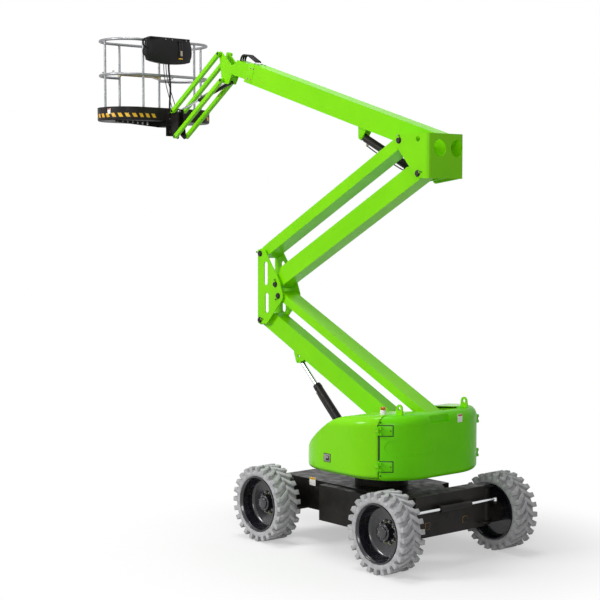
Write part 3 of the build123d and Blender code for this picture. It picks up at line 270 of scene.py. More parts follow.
def label_vinyl():
    """White vinyl of the blank decals."""
    material, tree, shader = start_material("label_vinyl", "#f2f1ec", 0.35)
    mottle(tree, shader, noise(tree, 40, 2), (0.3, "#eae9e3"), (0.8, "#f7f6f2"))
    return material


def label_amber():
    """Amber vinyl of the blank decals."""
    material, tree, shader = start_material("label_amber", "#e4b21c", 0.38)
    mottle(tree, shader, noise(tree, 40, 2), (0.3, "#dba913"), (0.8, "#eebd2c"))
    return material


def amber_lens():
    """Orange acrylic of the beacon's lens."""
    material, tree, shader = start_material("amber_lens", "#e2741c", 0.15, **{"Transmission Weight": 0.35,
                                            "IOR": 1.49})
    mottle(tree, shader, noise(tree, 25, 2), (0.3, "#d9690f"), (0.8, "#ee8a33"))
    return material


def white_plastic():
    """White moulded ABS."""
    material, tree, shader = start_material("white_plastic", "#e9e9e6", 0.35)
    wear(tree, shader, noise(tree, 20, 3), 0.30, 0.42)
    return material


def red_oxide():
    """Red thread-locking paint dabbed on the wear pads' set screws."""
    material, tree, shader = start_material("red_oxide", "#b8451f", 0.5)
    mottle(tree, shader, noise(tree, 8, 3), (0.3, "#a63a18"), (0.8, "#c95a30"))
    return material


def tarnished_steel():
    """Bare rolled steel of the entry bar, straw-coloured by passivation."""
    material, tree, shader = start_material("tarnished_steel", "#9b8e68", 0.40, 0.85)
    mottle(tree, shader, noise(tree, 40, 5), (0.3, "#8a7d58"), (0.8, "#aca07c"))
    raise_bump(tree, shader, noise(tree, 5, 3), 0.06)
    return material


LIME, GELCOAT, CAST_SHADE_TINTED = lime_enamel(), lime_gelcoat(), lime_cast_shade_tinted()
CHASSIS, RUBBER, RIM = chassis_paint(), tyre_rubber(), rim_gloss()
TUBE, CHROME, TRAY = galvanised_tube(), chromed_rod(), tray_paint()
PLASTIC, HOSE, HAZARD = black_plastic(), hose_rubber(), hazard_yellow()
MARKER, ZINC, PIN = nut_marker(), zinc_plate(), pin_steel()
WHITE, AMBER, LENS = label_vinyl(), label_amber(), amber_lens()
ABS, RED, STRAW = white_plastic(), red_oxide(), tarnished_steel()

# finish of each slot in the record, for the CAD pieces that stay
SLOT_FINISH = {"lime_paint": LIME, "lime_cast": CAST_SHADE_TINTED, "lime_cover": GELCOAT, "black_paint": CHASSIS,
               "grey_tyre": RUBBER, "black_rim": RIM, "galvanised_tube": TUBE, "chromed_rod": CHROME,
               "black_tray": TRAY, "black_plastic": PLASTIC, "power_unit": CHASSIS, "white_plastic": ABS}


def dress_cad():
    """Gives each CAD piece the finish of its slot."""
    for part in frame["record"]["subparts"]:
        node = NODES[part["node"]]
        node.data.materials.clear()
        node.data.materials.append(SLOT_FINISH[part["material_slot"]])
    NODES["entry_bar"].data.materials[0] = STRAW
    for hoses in ("nose_hoses", "cage_hose"):
        NODES[hoses].data.materials[0] = HOSE


# ---- making pieces ----
def machine(x, y, z):
    """A point given in millimetres from the slew axis at ground level."""
    return Vector((SLEW_X + x / 1000, y / 1000, z / 1000))


def new_faces(shape, verts):
    """Faces that hold only these vertices."""
    held = set(verts)
    return [face for face in shape.faces if all(v in held for v in face.verts)]


def round_edges(shape, edges, width, segments=2):
    """Rounds edges to a width."""
    bmesh.ops.bevel(shape, geom=edges, offset=width, offset_type="OFFSET", segments=segments, profile=0.5,
                    affect="EDGES", material=-1, clamp_overlap=True)


def soften(shape, verts, width):
    """Rounds every edge between these vertices."""
    held = set(verts)
    round_edges(shape, [e for e in shape.edges if e.verts[0] in held and e.verts[1] in held], width)


def finish_from(shape, count, finish):
    """Gives a finish to the faces made after the first count."""
    shape.faces.ensure_lookup_table()
    for face in shape.faces[count:]:
        face.material_index = finish


def add_slab(shape, centre, size, rounding=0.0, turn=None, finish=0):
    """Block of a size about a centre, turned and rounded."""
    count = len(shape.faces)
    spin = (turn or Matrix.Identity(3)).to_4x4()
    place = Matrix.Translation(centre) @ spin @ Matrix.Diagonal((*size, 1.0))
    verts = bmesh.ops.create_cube(shape, size=1.0, matrix=place)["verts"]
    if rounding:
        soften(shape, verts, rounding)
    finish_from(shape, count, finish)


def add_rod(shape, start, end, radius, sides=24, end_radius=None, rounding=0.0, finish=0):
    """Round or polygonal bar between two points."""
    start, end = Vector(start), Vector(end)
    run = end - start
    count = len(shape.faces)
    place = Matrix.Translation((start + end) / 2) @ run.to_track_quat("Z", "Y").to_matrix().to_4x4()
    made = bmesh.ops.create_cone(shape, cap_ends=True, cap_tris=False, segments=sides, radius1=radius,
                                 radius2=radius if end_radius is None else end_radius, depth=run.length,
                                 matrix=place)
    if rounding:
        rims = [edge for edge in {e for v in made["verts"] for e in v.link_edges}
                if any(len(face.verts) == sides for face in edge.link_faces)]
        round_edges(shape, rims, rounding)
    finish_from(shape, count, finish)


def add_turned(shape, profile, centre, axis, steps=48, finish=0, closed=True):
    """Turned piece: (radius, height) points of its section, spun about an axis through a centre."""
    axis = Vector(axis).normalized()
    across = axis.orthogonal().normalized()
    centre = Vector(centre)
    count = len(shape.faces)
    verts = [shape.verts.new(centre + across * radius + axis * height) for radius, height in profile]
    edges = [shape.edges.new(pair) for pair in zip(verts, verts[1:] + (verts[:1] if closed else []))]
    bmesh.ops.spin(shape, geom=verts + edges, cent=centre, axis=axis, dvec=(0, 0, 0), angle=2 * pi,
                   steps=steps, use_merge=True)
    shape.faces.ensure_lookup_table()
    corners = list({v for face in shape.faces[count:] for v in face.verts})
    bmesh.ops.remove_doubles(shape, verts=corners, dist=1e-6)
    finish_from(shape, count, finish)


def save_piece(name, shape, body, finishes, smooth=40.0, stands_for=()):
    """The finished bmesh as an object that rides on a body."""
    bmesh.ops.recalc_face_normals(shape, faces=shape.faces)
    mesh = bpy.data.meshes.new(name)
    shape.to_mesh(mesh)
    shape.free()
    mesh.shade_smooth()
    mesh.set_sharp_from_angle(angle=radians(smooth))
    for finish in finishes:
        mesh.materials.append(finish)
    piece = bpy.data.objects.new(name, mesh)
    bpy.context.scene.collection.objects.link(piece)
    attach(piece, body)
    if stands_for:
        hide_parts(*stands_for)
    return piece


def bent_tube(name, points, radius, body, finish):
    """Tube on a smooth line through control points, as a mesh."""
    curve = bpy.data.curves.new(name, "CURVE")
    curve.dimensions, curve.bevel_depth, curve.bevel_resolution = "3D", radius, 5
    curve.use_fill_caps, curve.resolution_u = True, 10
    spline = curve.splines.new("NURBS")
    spline.points.add(len(points) - 1)
    for knot, point in zip(spline.points, points):
        knot.co = (*point, 1.0)
    spline.order_u, spline.use_endpoint_u = 3, True
    line = bpy.data.objects.new(name, curve)
    bpy.context.scene.collection.objects.link(line)
    mesh = bpy.data.meshes.new_from_object(line)
    bpy.data.objects.remove(line)
    mesh.materials.clear()
    mesh.materials.append(finish)
    mesh.shade_smooth()
    mesh.set_sharp_from_angle(angle=radians(40))
    piece = bpy.data.objects.new(name, mesh)
    bpy.context.scene.collection.objects.link(piece)
    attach(piece, body)
    return piece


# ---- wheels ----
LUGS = 24
TYRE_RADIUS, LUG_FOOT = 0.4275, 0.379
# (radius, distance from the middle plane) of the carcass, from the bead to the middle of the tread
CARCASS = [(0.3125, 0.112), (0.3155, 0.134), (0.331, 0.146), (0.352, 0.1485), (0.370, 0.143), (0.380, 0.124),
           (0.3835, 0.070), (0.3845, 0.0)]


def add_lug(shape, turn, side):
    """One tread block: square at the shoulder, then slanting in to the middle of the tread."""
    width, bend, slant = 0.055, 0.100, 0.80
    # centre and size of the block itself, and of its rib down the side wall
    parts = (((0.0, 0.0745, (LUG_FOOT + TYRE_RADIUS) / 2), (width, 0.155, TYRE_RADIUS - LUG_FOOT)),
             ((0.0, 0.1400, 0.3730), (width, 0.0215, 0.0360)))
    for (x, y, z), size in parts:
        place = Matrix.Translation((x, y, z)) @ Matrix.Diagonal((*size, 1.0))
        verts = bmesh.ops.create_cube(shape, size=1.0, matrix=place)["verts"]
        held = set(verts)
        geometry = verts + [e for e in shape.edges if e.verts[0] in held and e.verts[1] in held]
        geometry += new_faces(shape, verts)
        if size[1] > bend:
            made = bmesh.ops.bisect_plane(shape, geom=geometry, plane_co=(0, bend, 0), plane_no=(0, 1, 0))
            verts = list(held | {g for g in made["geom_cut"] if isinstance(g, bmesh.types.BMVert)})
            for vert in verts:
                vert.co.x += slant * max(0.0, bend - vert.co.y)
        held = set(verts)
        before = {v for v in shape.verts if v not in held}
        soften(shape, verts, 0.0045)
        verts = [v for v in shape.verts if v not in before]
        for vert in verts:
            angle, radius = vert.co.x / TYRE_RADIUS + turn, vert.co.z
            vert.co = (radius * sin(angle), side * vert.co.y, radius * cos(angle))


def tyre_shape():
    """Carcass with two rows of interleaved tread blocks, about its own centre, its axle along Y."""
    shape = bmesh.new()
    section = CARCASS + [(radius, -out) for radius, out in reversed(CARCASS[:-1])]
    add_turned(shape, section, (0, 0, 0), (0, 1, 0), 96)
    pitch = 2 * pi / LUGS
    for i in range(LUGS):
        add_lug(shape, i * pitch, 1)
        add_lug(shape, (i + 0.5) * pitch, -1)
    return shape


# (radius, distance out) of the rim's section, round from the outer lip
RIM_SECTION = [(0.3005, 0.1462), (0.3115, 0.1462), (0.3118, 0.1310), (0.2890, 0.1270), (0.2890, -0.1270),
               (0.3118, -0.1310), (0.3115, -0.1462), (0.3005, -0.1462), (0.2790, -0.1200), (0.2770, -0.0560),
               (0.2620, -0.0430), (0.0500, -0.0430), (0.0500, -0.0285), (0.1450, -0.0285), (0.2450, -0.0240),
               (0.2660, -0.0120), (0.2750, 0.0060), (0.2760, 0.0620), (0.2810, 0.0700), (0.2815, 0.1130),
               (0.2870, 0.1290), (0.2960, 0.1370)]
HUB_SECTION = [(0.0, 0.0662), (0.0560, 0.0662), (0.0620, 0.0640), (0.0655, 0.0590), (0.0665, 0.0500),
               (0.0860, 0.0480), (0.0900, 0.0455), (0.0915, 0.0410), (0.0915, -0.0200), (0.0960, -0.0285),
               (0.0, -0.0285)]
NUTS, NUT_CIRCLE, DISC_FACE = 10, 0.1160, -0.0285
CAP_BOLTS, CAP_CIRCLE = 8, 0.0775


def rim_shape():
    """Stepped deep-dish rim with its hub cap, wheel nuts and nut pointers."""
    shape = bmesh.new()
    out = Vector((0, 1, 0))
    add_turned(shape, RIM_SECTION, (0, 0, 0), out, 96)
    add_turned(shape, HUB_SECTION, (0, 0, 0), out, 64, closed=False)
    for i in range(CAP_BOLTS):
        angle = (i + 0.5) * 2 * pi / CAP_BOLTS
        foot = Vector((CAP_CIRCLE * cos(angle), 0.0465, CAP_CIRCLE * sin(angle)))
        add_rod(shape, foot, foot + out * 0.006, 0.0055, 6, rounding=0.001, finish=1)
    add_rod(shape, (0.030, 0.0655, 0), (0.030, 0.0705, 0), 0.0085, 6, rounding=0.001, finish=1)
    for i in range(NUTS):
        angle = i * 2 * pi / NUTS
        foot = Vector((NUT_CIRCLE * cos(angle), DISC_FACE, NUT_CIRCLE * sin(angle)))
        add_rod(shape, foot, foot + out * 0.003, 0.0200, 24, finish=1)
        add_rod(shape, foot + out * 0.003, foot + out * 0.019, 0.0160, 6, rounding=0.002, finish=1)
        add_rod(shape, foot + out * 0.019, foot + out * 0.028, 0.0095, 16, rounding=0.001, finish=1)
        # pointer: a ring round the nut with a tip towards the next one
        add_rod(shape, foot + out * 0.0035, foot + out * 0.0115, 0.0205, 20, end_radius=0.0175, finish=2)
        tip = Vector((-sin(angle), 0, cos(angle)))
        add_rod(shape, foot + out * 0.0075 + tip * 0.012, foot + out * 0.0075 + tip * 0.042, 0.0115, 4,
                end_radius=0.002, finish=2)
    return shape


def make_wheels():
    """The four wheels, mirrored so that each dished rim faces out."""
    patterns = {"tyre": (tyre_shape(), [RUBBER], "grey_tyre"),
                "rim": (rim_shape(), [RIM, ZINC, MARKER], "black_rim")}
    for side, sign in SIDES.items():
        for axle in ("steer", "fixed"):
            wheel = f"{side}_{axle}"
            for part, (pattern, finishes, slot) in patterns.items():
                shape = pattern.copy()
                bmesh.ops.scale(shape, vec=(1, sign, 1), verts=shape.verts)
                bmesh.ops.translate(shape, vec=PINS[f"{wheel}_wheel_spin"], verts=shape.verts)
                save_piece(f"{wheel}_{part}_detail", shape, f"{wheel}_wheel", finishes,
                           stands_for=[f"{wheel}_{part}"])
    for pattern, *_ in patterns.values():
        pattern.free()


# ---- pins and their keepers ----
def shifted(joint, start, end):
    """A pin that lies from a joint as the end joint lies from the start joint."""
    return PINS[joint] + PINS[end] - PINS[start]


def add_pin_end(shape, place, side, y, radius, keeper):
    """Chamfered pin end on a washer at a plate's outer face.

    keeper is the turn in degrees of its locking bar, or None on a small pin, which stays nearly flush.
    """
    out = Vector((0, side, 0))
    face = Vector((place.x, y, place.z))
    proud = 0.006 if keeper is None else 0.019
    washer = radius + proud * 0.37
    section = [(0.0, proud), (radius - 0.005, proud), (radius - 0.001, proud * 0.8),
               (radius - 0.001, proud * 0.3), (washer, proud * 0.25), (washer, 0.0), (0.0, 0.0)]
    add_turned(shape, section, face, out, 32, closed=False)
    if keeper is not None:
        turn = Matrix.Rotation(radians(keeper), 3, "Y")
        away = turn @ Vector((1, 0, 0))
        add_slab(shape, face + out * 0.010 + away * (radius + 0.012), (0.050, 0.006, 0.022), 0.0015, turn, 1)
        bolt = face + out * 0.012 + away * (radius + 0.024)
        add_rod(shape, bolt, bolt + out * 0.008, 0.0085, 6, rounding=0.001, finish=2)


BIG_PIN, BIG_PIN_FACE = 0.030, 0.1405        # radius, and its plates' outer faces from the middle plane
SMALL_PIN, SMALL_PIN_FACE = 0.017, 0.1145


def make_pins():
    """Pin ends on both faces of the centre knuckle, nose and carrier, and on the left face of the top knuckle."""
    both, left = (1, -1), (1,)
    groups = {"centre_knuckle": ([PINS["centre_knuckle_level"], PINS["stage_two_pin"],
                                  PINS["stage_two_link_pin"],
                                  shifted("centre_knuckle_level", "stage_lift", "stage_one_link_pin")],
                                 0.0, BIG_PIN_FACE, both, BIG_PIN),
              "top_knuckle": ([PINS["top_knuckle_level"],
                               shifted("top_knuckle_level", "stage_two_pin", "stage_two_link_pin")],
                              0.0, BIG_PIN_FACE, left, BIG_PIN),
              "nose": ([PINS["jib_lift"], PINS["jib_upper_pin"]], BOOM_Y, SMALL_PIN_FACE, both, SMALL_PIN),
              "carrier": ([PINS["carrier_level"], shifted("carrier_level", "jib_lift", "jib_upper_pin")],
                          BOOM_Y, SMALL_PIN_FACE, both, SMALL_PIN)}
    for body, (pins, middle, reach, sides, radius) in groups.items():
        shape = bmesh.new()
        for i, pin in enumerate(pins):
            for side in sides:
                add_pin_end(shape, pin, side, middle + side * reach, radius,
                            200.0 + 70 * i if radius == BIG_PIN else None)
        save_piece(f"{body}_pin_ends", shape, body, [PIN, LIME if radius == BIG_PIN else CHASSIS, ZINC])


# ---- turret ----
TURRET_ARC, TURRET_RADIUS = machine(-390, 255, 0), 0.600     # left rear corner of the turret in plan
REAR_FACE = machine(-990, 0, 0).x
HINGE_TURN, SLOT_TURN, SCREW_TURN = 2.318, 2.205, 2.235     # angles round that corner
HINGE_HEIGHTS = (1.444, 1.062)


def on_corner(turn, z, out=0.0):
    """Point on the turret's corner, and the way out from it."""
    way = Vector((cos(turn), sin(turn), 0))
    return TURRET_ARC + way * (TURRET_RADIUS + out) + Vector((0, 0, z)), way


def add_patch(shape, turn, z, width, height, proud, finish):
    """Plate that lies on the turret's left rear corner, bent to its curve; turn is its middle's angle."""
    count, held, cuts = len(shape.faces), set(shape.verts), 8
    place = Matrix.Diagonal((width, proud + 0.004, height, 1.0))
    soften(shape, bmesh.ops.create_cube(shape, size=1.0, matrix=place)["verts"], 0.0015)
    for i in range(1, cuts):
        verts = [v for v in shape.verts if v not in held]
        edges = {e for v in verts for e in v.link_edges}
        faces = {f for e in edges for f in e.link_faces}
        bmesh.ops.bisect_plane(shape, geom=verts + list(edges) + list(faces),
                               plane_co=(width * (i / cuts - 0.5), 0, 0), plane_no=(1, 0, 0))
    for vert in [v for v in shape.verts if v not in held]:
        angle = turn + vert.co.x / TURRET_RADIUS
        radius = TURRET_RADIUS + vert.co.y + (proud - 0.004) / 2
        vert.co = TURRET_ARC + Vector((radius * cos(angle), radius * sin(angle), vert.co.z + z))
    finish_from(shape, count, finish)


def make_hinges():
    """Hinge cover plates on the counterweight beside the split, each in its dark joint line."""
    shape = bmesh.new()
    for z in HINGE_HEIGHTS:
        add_patch(shape, HINGE_TURN, z, 0.172, 0.122, 0.0012, 1)
        add_patch(shape, HINGE_TURN, z, 0.152, 0.102, 0.0032, 0)
        for along in (-0.055, 0.055):
            foot, out = on_corner(HINGE_TURN + along / TURRET_RADIUS, z, 0.002)
            add_rod(shape, foot, foot + out * 0.005, 0.007, 16, rounding=0.001, finish=0)
    add_patch(shape, SLOT_TURN, sum(HINGE_HEIGHTS) / 2 + 0.002, 0.018, 0.250, 0.0015, 1)
    for z in (1.530, 0.965):
        foot, out = on_corner(SCREW_TURN, z, -0.001)
        add_rod(shape, foot, foot + out * 0.007, 0.009, 16, rounding=0.0015, finish=1)
    save_piece("hinge_plates", shape, "turret", [CAST_SHADE_TINTED, PLASTIC])


def make_turret_labels():
    """Blank decal on the counterweight's rear face."""
    shape = bmesh.new()
    add_slab(shape, (REAR_FACE, -0.229, 1.517), (0.003, 0.072, 0.088), 0.001)
    add_slab(shape, (REAR_FACE - 0.0010, -0.229, 1.547), (0.003, 0.066, 0.018), 0.001, finish=1)
    save_piece("turret_label", shape, "turret", [WHITE, RED])


def make_latch():
    """Recessed paddle latch with its dark bezel on the left cover."""
    shape = bmesh.new()
    centre = machine(-50, 855, 1080)
    add_slab(shape, centre, (0.112, 0.008, 0.094), 0.003, finish=1)
    add_slab(shape, centre + Vector((0, 0.0035, 0)), (0.098, 0.006, 0.080), 0.002, finish=0)
    add_slab(shape, centre + Vector((-0.012, 0.0065, 0)), (0.050, 0.006, 0.056), 0.0025, finish=1)
    add_slab(shape, centre + Vector((-0.010, 0.0095, 0.010)), (0.036, 0.006, 0.026), 0.0025, finish=0)
    save_piece("cover_latch", shape, "left_cover", [ZINC, PLASTIC])


def make_beacon():
    """Beacon: white base with a collar, ribbed orange lens with a domed top."""
    low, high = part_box("beacon")
    middle = (low + high) / 2
    radius, base = (high.x - low.x) / 2, 1.640
    foot = Vector((middle.x, middle.y, 0))
    shape = bmesh.new()
    collar = [(0, base - 0.052), (radius - 0.001, base - 0.052), (radius - 0.001, base - 0.010),
              (radius - 0.004, base - 0.004), (radius - 0.006, base), (0, base)]
    add_turned(shape, collar, foot, (0, 0, 1), 48, closed=False)
    lens = [(0, base), (radius - 0.007, base)]
    for ring in range(5):
        z = base + 0.003 + ring * 0.005
        lens += [(radius - 0.0065, z), (radius - 0.0085, z + 0.0025)]
    lens += [(radius - 0.010, base + 0.029), (radius - 0.016, base + 0.034), (0, high.z - 0.0005)]
    add_turned(shape, lens, foot, (0, 0, 1), 48, finish=1, closed=False)
    save_piece("beacon_lamp", shape, "left_cover", [ABS, LENS], stands_for=["beacon"])


# ---- chassis ----
def make_chassis_details():
    """Blank decal, amber squares, deck bolts, bearing bolts and a small box on the chassis."""
    shape = bmesh.new()
    label = machine(632, 480, 676)
    add_slab(shape, label, (0.104, 0.004, 0.094), 0.0015, finish=1)
    add_slab(shape, label + Vector((0, 0.0008, 0.034)), (0.100, 0.004, 0.024), 0.0015, finish=2)
    for square in (machine(-1085, 349, 431), machine(-1085, -219, 427)):
        add_slab(shape, square, (0.005, 0.070, 0.070), 0.001, finish=2)
        add_rod(shape, square - Vector((0.002, 0, 0)), square - Vector((0.006, 0, 0)), 0.019, 24,
                rounding=0.001)
    for x in (-700, -420, -140, 140, 420, 700, 980):
        foot = machine(x, 480, 655)
        add_rod(shape, foot, foot + Vector((0, 0.003, 0)), 0.016, 20, finish=3)
        add_rod(shape, foot + Vector((0, 0.003, 0)), foot + Vector((0, 0.012, 0)), 0.0105, 6, rounding=0.0015,
                finish=3)
    # ring of bolts that holds the slewing bearing
    bolts, circle = 28, 378
    for i in range(bolts):
        angle = (i + 0.5) * 2 * pi / bolts
        foot = machine(circle * cos(angle), circle * sin(angle), 858)
        add_rod(shape, foot, foot - Vector((0, 0, 0.014)), 0.012, 6, rounding=0.0015, finish=3)
    # small electric box under the deck's left edge
    box = machine(480, 498, 590)
    add_slab(shape, box, (0.130, 0.042, 0.090), 0.006, finish=4)
    add_slab(shape, box + Vector((0, 0.022, 0)), (0.112, 0.006, 0.072), 0.002, finish=4)
    save_piece("chassis_fittings", shape, "chassis", [CHASSIS, WHITE, AMBER, ZINC, PLASTIC])


def make_hub_motors():
    """Ring of bolts on the inner side of each wheel."""
    bolts, circle, flange = 10, 0.103, 0.128
    for side, sign in SIDES.items():
        for axle in ("steer", "fixed"):
            spin = PINS[f"{side}_{axle}_wheel_spin"]
            body = f"{side}_steering_knuckle" if axle == "steer" else "chassis"
            shape = bmesh.new()
            inward = Vector((0, -sign, 0))
            for i in range(bolts):
                angle = i * 2 * pi / bolts
                foot = spin + Vector((circle * cos(angle), 0, circle * sin(angle))) + inward * flange
                add_rod(shape, foot, foot + inward * 0.012, 0.011, 6, rounding=0.0015)
            save_piece(f"{side}_{axle}_motor_bolts", shape, body, [ZINC])


# ---- booms ----
MAIN_TILT = radians(17.1)


def along_main(along, across, y):
    """Point on the main boom: along its pivot line, across it upwards, and sideways from its middle."""
    run, rise = Vector((cos(MAIN_TILT), 0, sin(MAIN_TILT))), Vector((-sin(MAIN_TILT), 0, cos(MAIN_TILT)))
    return PINS["main_luff"] + run * along + rise * across + Vector((0, y, 0))


def make_wear_pads():
    """Set screws of the telescope's wear pads, with their lock nuts, round the boom's tip."""
    tilt = Matrix.Rotation(-MAIN_TILT, 3, "Y")
    shape = bmesh.new()
    for along in (3.395, 3.455):
        for across in (-0.135, 0.005):
            for side in (1, -1):
                foot = along_main(along - 0.02 * (across > 0), across, side * 0.103)
                out = Vector((0, side, 0))
                add_rod(shape, foot, foot + out * 0.006, 0.0125, 6, rounding=0.0012, finish=1)
                add_rod(shape, foot + out * 0.006, foot + out * 0.011, 0.0065, 12, rounding=0.001, finish=2)
    for side in (1, -1):
        add_slab(shape, along_main(3.425, -0.065, side * 0.105), (0.115, 0.005, 0.245), 0.002, tilt)
    up = tilt @ Vector((0, 0, 1))
    for along in (3.36, 3.43):
        for y in (-0.055, 0.055):
            foot = along_main(along, 0.060, y)
            add_rod(shape, foot, foot + up * 0.010, 0.0125, 6, rounding=0.0012, finish=1)
    save_piece("wear_pad_screws", shape, "main_boom", [LIME, ZINC, RED])


def make_cylinder_details():
    """Gland nut, ports and pressure pipe on each lift cylinder."""
    cylinders = {"stage": (0.048, 0.027), "boom": (0.046, 0.024), "jib": (0.024, 0.013)}
    for name, (radius, rod_radius) in cylinders.items():
        barrel, rod = f"{name}_cylinder_barrel", f"{name}_cylinder_rod"
        slide = next(joint for joint in frame["joints"] if joint["name"] == f"{name}_cylinder_stroke")
        way = Vector(slide["axis"])
        low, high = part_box(barrel)
        rod_low, rod_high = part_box(rod)
        middle, rod_middle = (low + high) / 2, (rod_low + rod_high) / 2
        way = way if (rod_middle - middle).dot(way) > 0 else -way
        half = (high - low).length / 2 - radius * 1.3
        mouth, foot = middle + way * half, middle - way * half
        shape = bmesh.new()
        ring = [(rod_radius + 0.0015, 0.0), (radius * 1.06, 0.0), (radius * 1.06, radius * 0.7),
                (radius * 0.96, radius * 0.85), (rod_radius + 0.0015, radius * 0.85)]
        add_turned(shape, ring, mouth - way * radius * 0.85, way, 40)
        side = Vector((0, 1, 0))
        # the stage cylinder folds up against its boom, so its ports are below
        up = way.cross(side).normalized() * (-1 if name == "stage" else 1)
        port = radius * 0.36
        start, end = mouth - way * radius * 1.3, foot + way * radius * 2.2
        for place in (start, end):
            add_rod(shape, place + up * radius * 0.8, place + up * (radius + port), port, 24, rounding=0.002)
            add_rod(shape, place + up * (radius + port * 0.7), place + up * (radius + port * 1.5), port * 0.7,
                    6, rounding=0.0015, finish=1)
        line = [start + up * (radius + port), start + up * (radius + port * 1.6) - way * port * 2,
                end + up * (radius + port * 1.6) + way * port * 2, end + up * (radius + port)]
        save_piece(f"{name}_cylinder_fittings", shape, barrel, [PLASTIC, ZINC])
        bent_tube(f"{name}_cylinder_pipe", line, port * 0.42, barrel, HOSE)


# ---- cage ----
CAGE_LOW, CAGE_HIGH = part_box("cage_tray")
CAGE_MIDDLE = (CAGE_LOW + CAGE_HIGH) / 2
CAGE_CORNER = 0.370
MID_RAIL = 5.575


def cage_outline(distance, proud):
    """Point and outward direction on the tray's plan, at a distance round from its near side's middle."""
    half_x, half_y = (CAGE_HIGH.x - CAGE_LOW.x) / 2, (CAGE_HIGH.y - CAGE_LOW.y) / 2
    straight, bend = half_y - CAGE_CORNER, CAGE_CORNER * pi / 2
    sign = 1 if distance >= 0 else -1
    rest = abs(distance)
    if rest <= straight:
        place, out = Vector((-half_x, rest, 0)), Vector((-1, 0, 0))
    elif rest <= straight + bend:
        angle = (rest - straight) / CAGE_CORNER
        out = Vector((-cos(angle), sin(angle), 0))
        place = Vector((CAGE_CORNER - half_x, straight, 0)) + out * CAGE_CORNER
    else:
        rest, run = rest - straight - bend, 2 * (half_x - CAGE_CORNER)
        angle = max(0.0, rest - run) / CAGE_CORNER
        out = Vector((sin(angle), cos(angle), 0))
        place = Vector((CAGE_CORNER - half_x + min(rest, run), straight, 0)) + out * CAGE_CORNER
    place, out = Vector((place.x, sign * place.y, 0)), Vector((out.x, sign * out.y, 0))
    return Vector((CAGE_MIDDLE.x, CAGE_MIDDLE.y, 0)) + place + out * proud, out


def add_tape(shape, start, length, low, height, lean):
    """Parallelogram of tape on the tray's side, as a thin strip bent round its plan."""
    held = set(shape.verts)
    made = bmesh.ops.create_grid(shape, x_segments=6, y_segments=1, size=0.5)
    grown = bmesh.ops.extrude_face_region(shape, geom=list({f for v in made["verts"] for f in v.link_faces}))
    for vert in (v for v in grown["geom"] if isinstance(v, bmesh.types.BMVert)):
        vert.co.z += 1.0
    for vert in [v for v in shape.verts if v not in held]:
        along = start + (vert.co.x + 0.5) * length + lean * (vert.co.y + 0.5)
        place = cage_outline(along, -0.0006 + 0.0016 * vert.co.z)[0]
        vert.co = Vector((place.x, place.y, low + (vert.co.y + 0.5) * height))


def make_hazard_tape():
    """Tape round the tray's near corners, and a blank decal above it."""
    shape = bmesh.new()
    for start, count in ((0.24, 11), (-1.00, 4)):
        for i in range(count):
            add_tape(shape, start + i * 0.098, 0.052, CAGE_LOW.z + 0.042, 0.052, 0.028)
    save_piece("hazard_tape", shape, "cage", [HAZARD])
    label = bmesh.new()
    place, out = cage_outline(0.94, 0.0)
    turn = Matrix.Rotation(atan2(out.y, out.x), 3, "Z")
    place.z = CAGE_LOW.z + 0.118
    add_slab(label, place, (0.003, 0.050, 0.072), 0.001, turn)
    add_slab(label, place + out * 0.0008 + Vector((0, 0, 0.028)), (0.003, 0.046, 0.014), 0.001, turn,
             finish=1)
    save_piece("tray_label", label, "cage", [WHITE, RED])


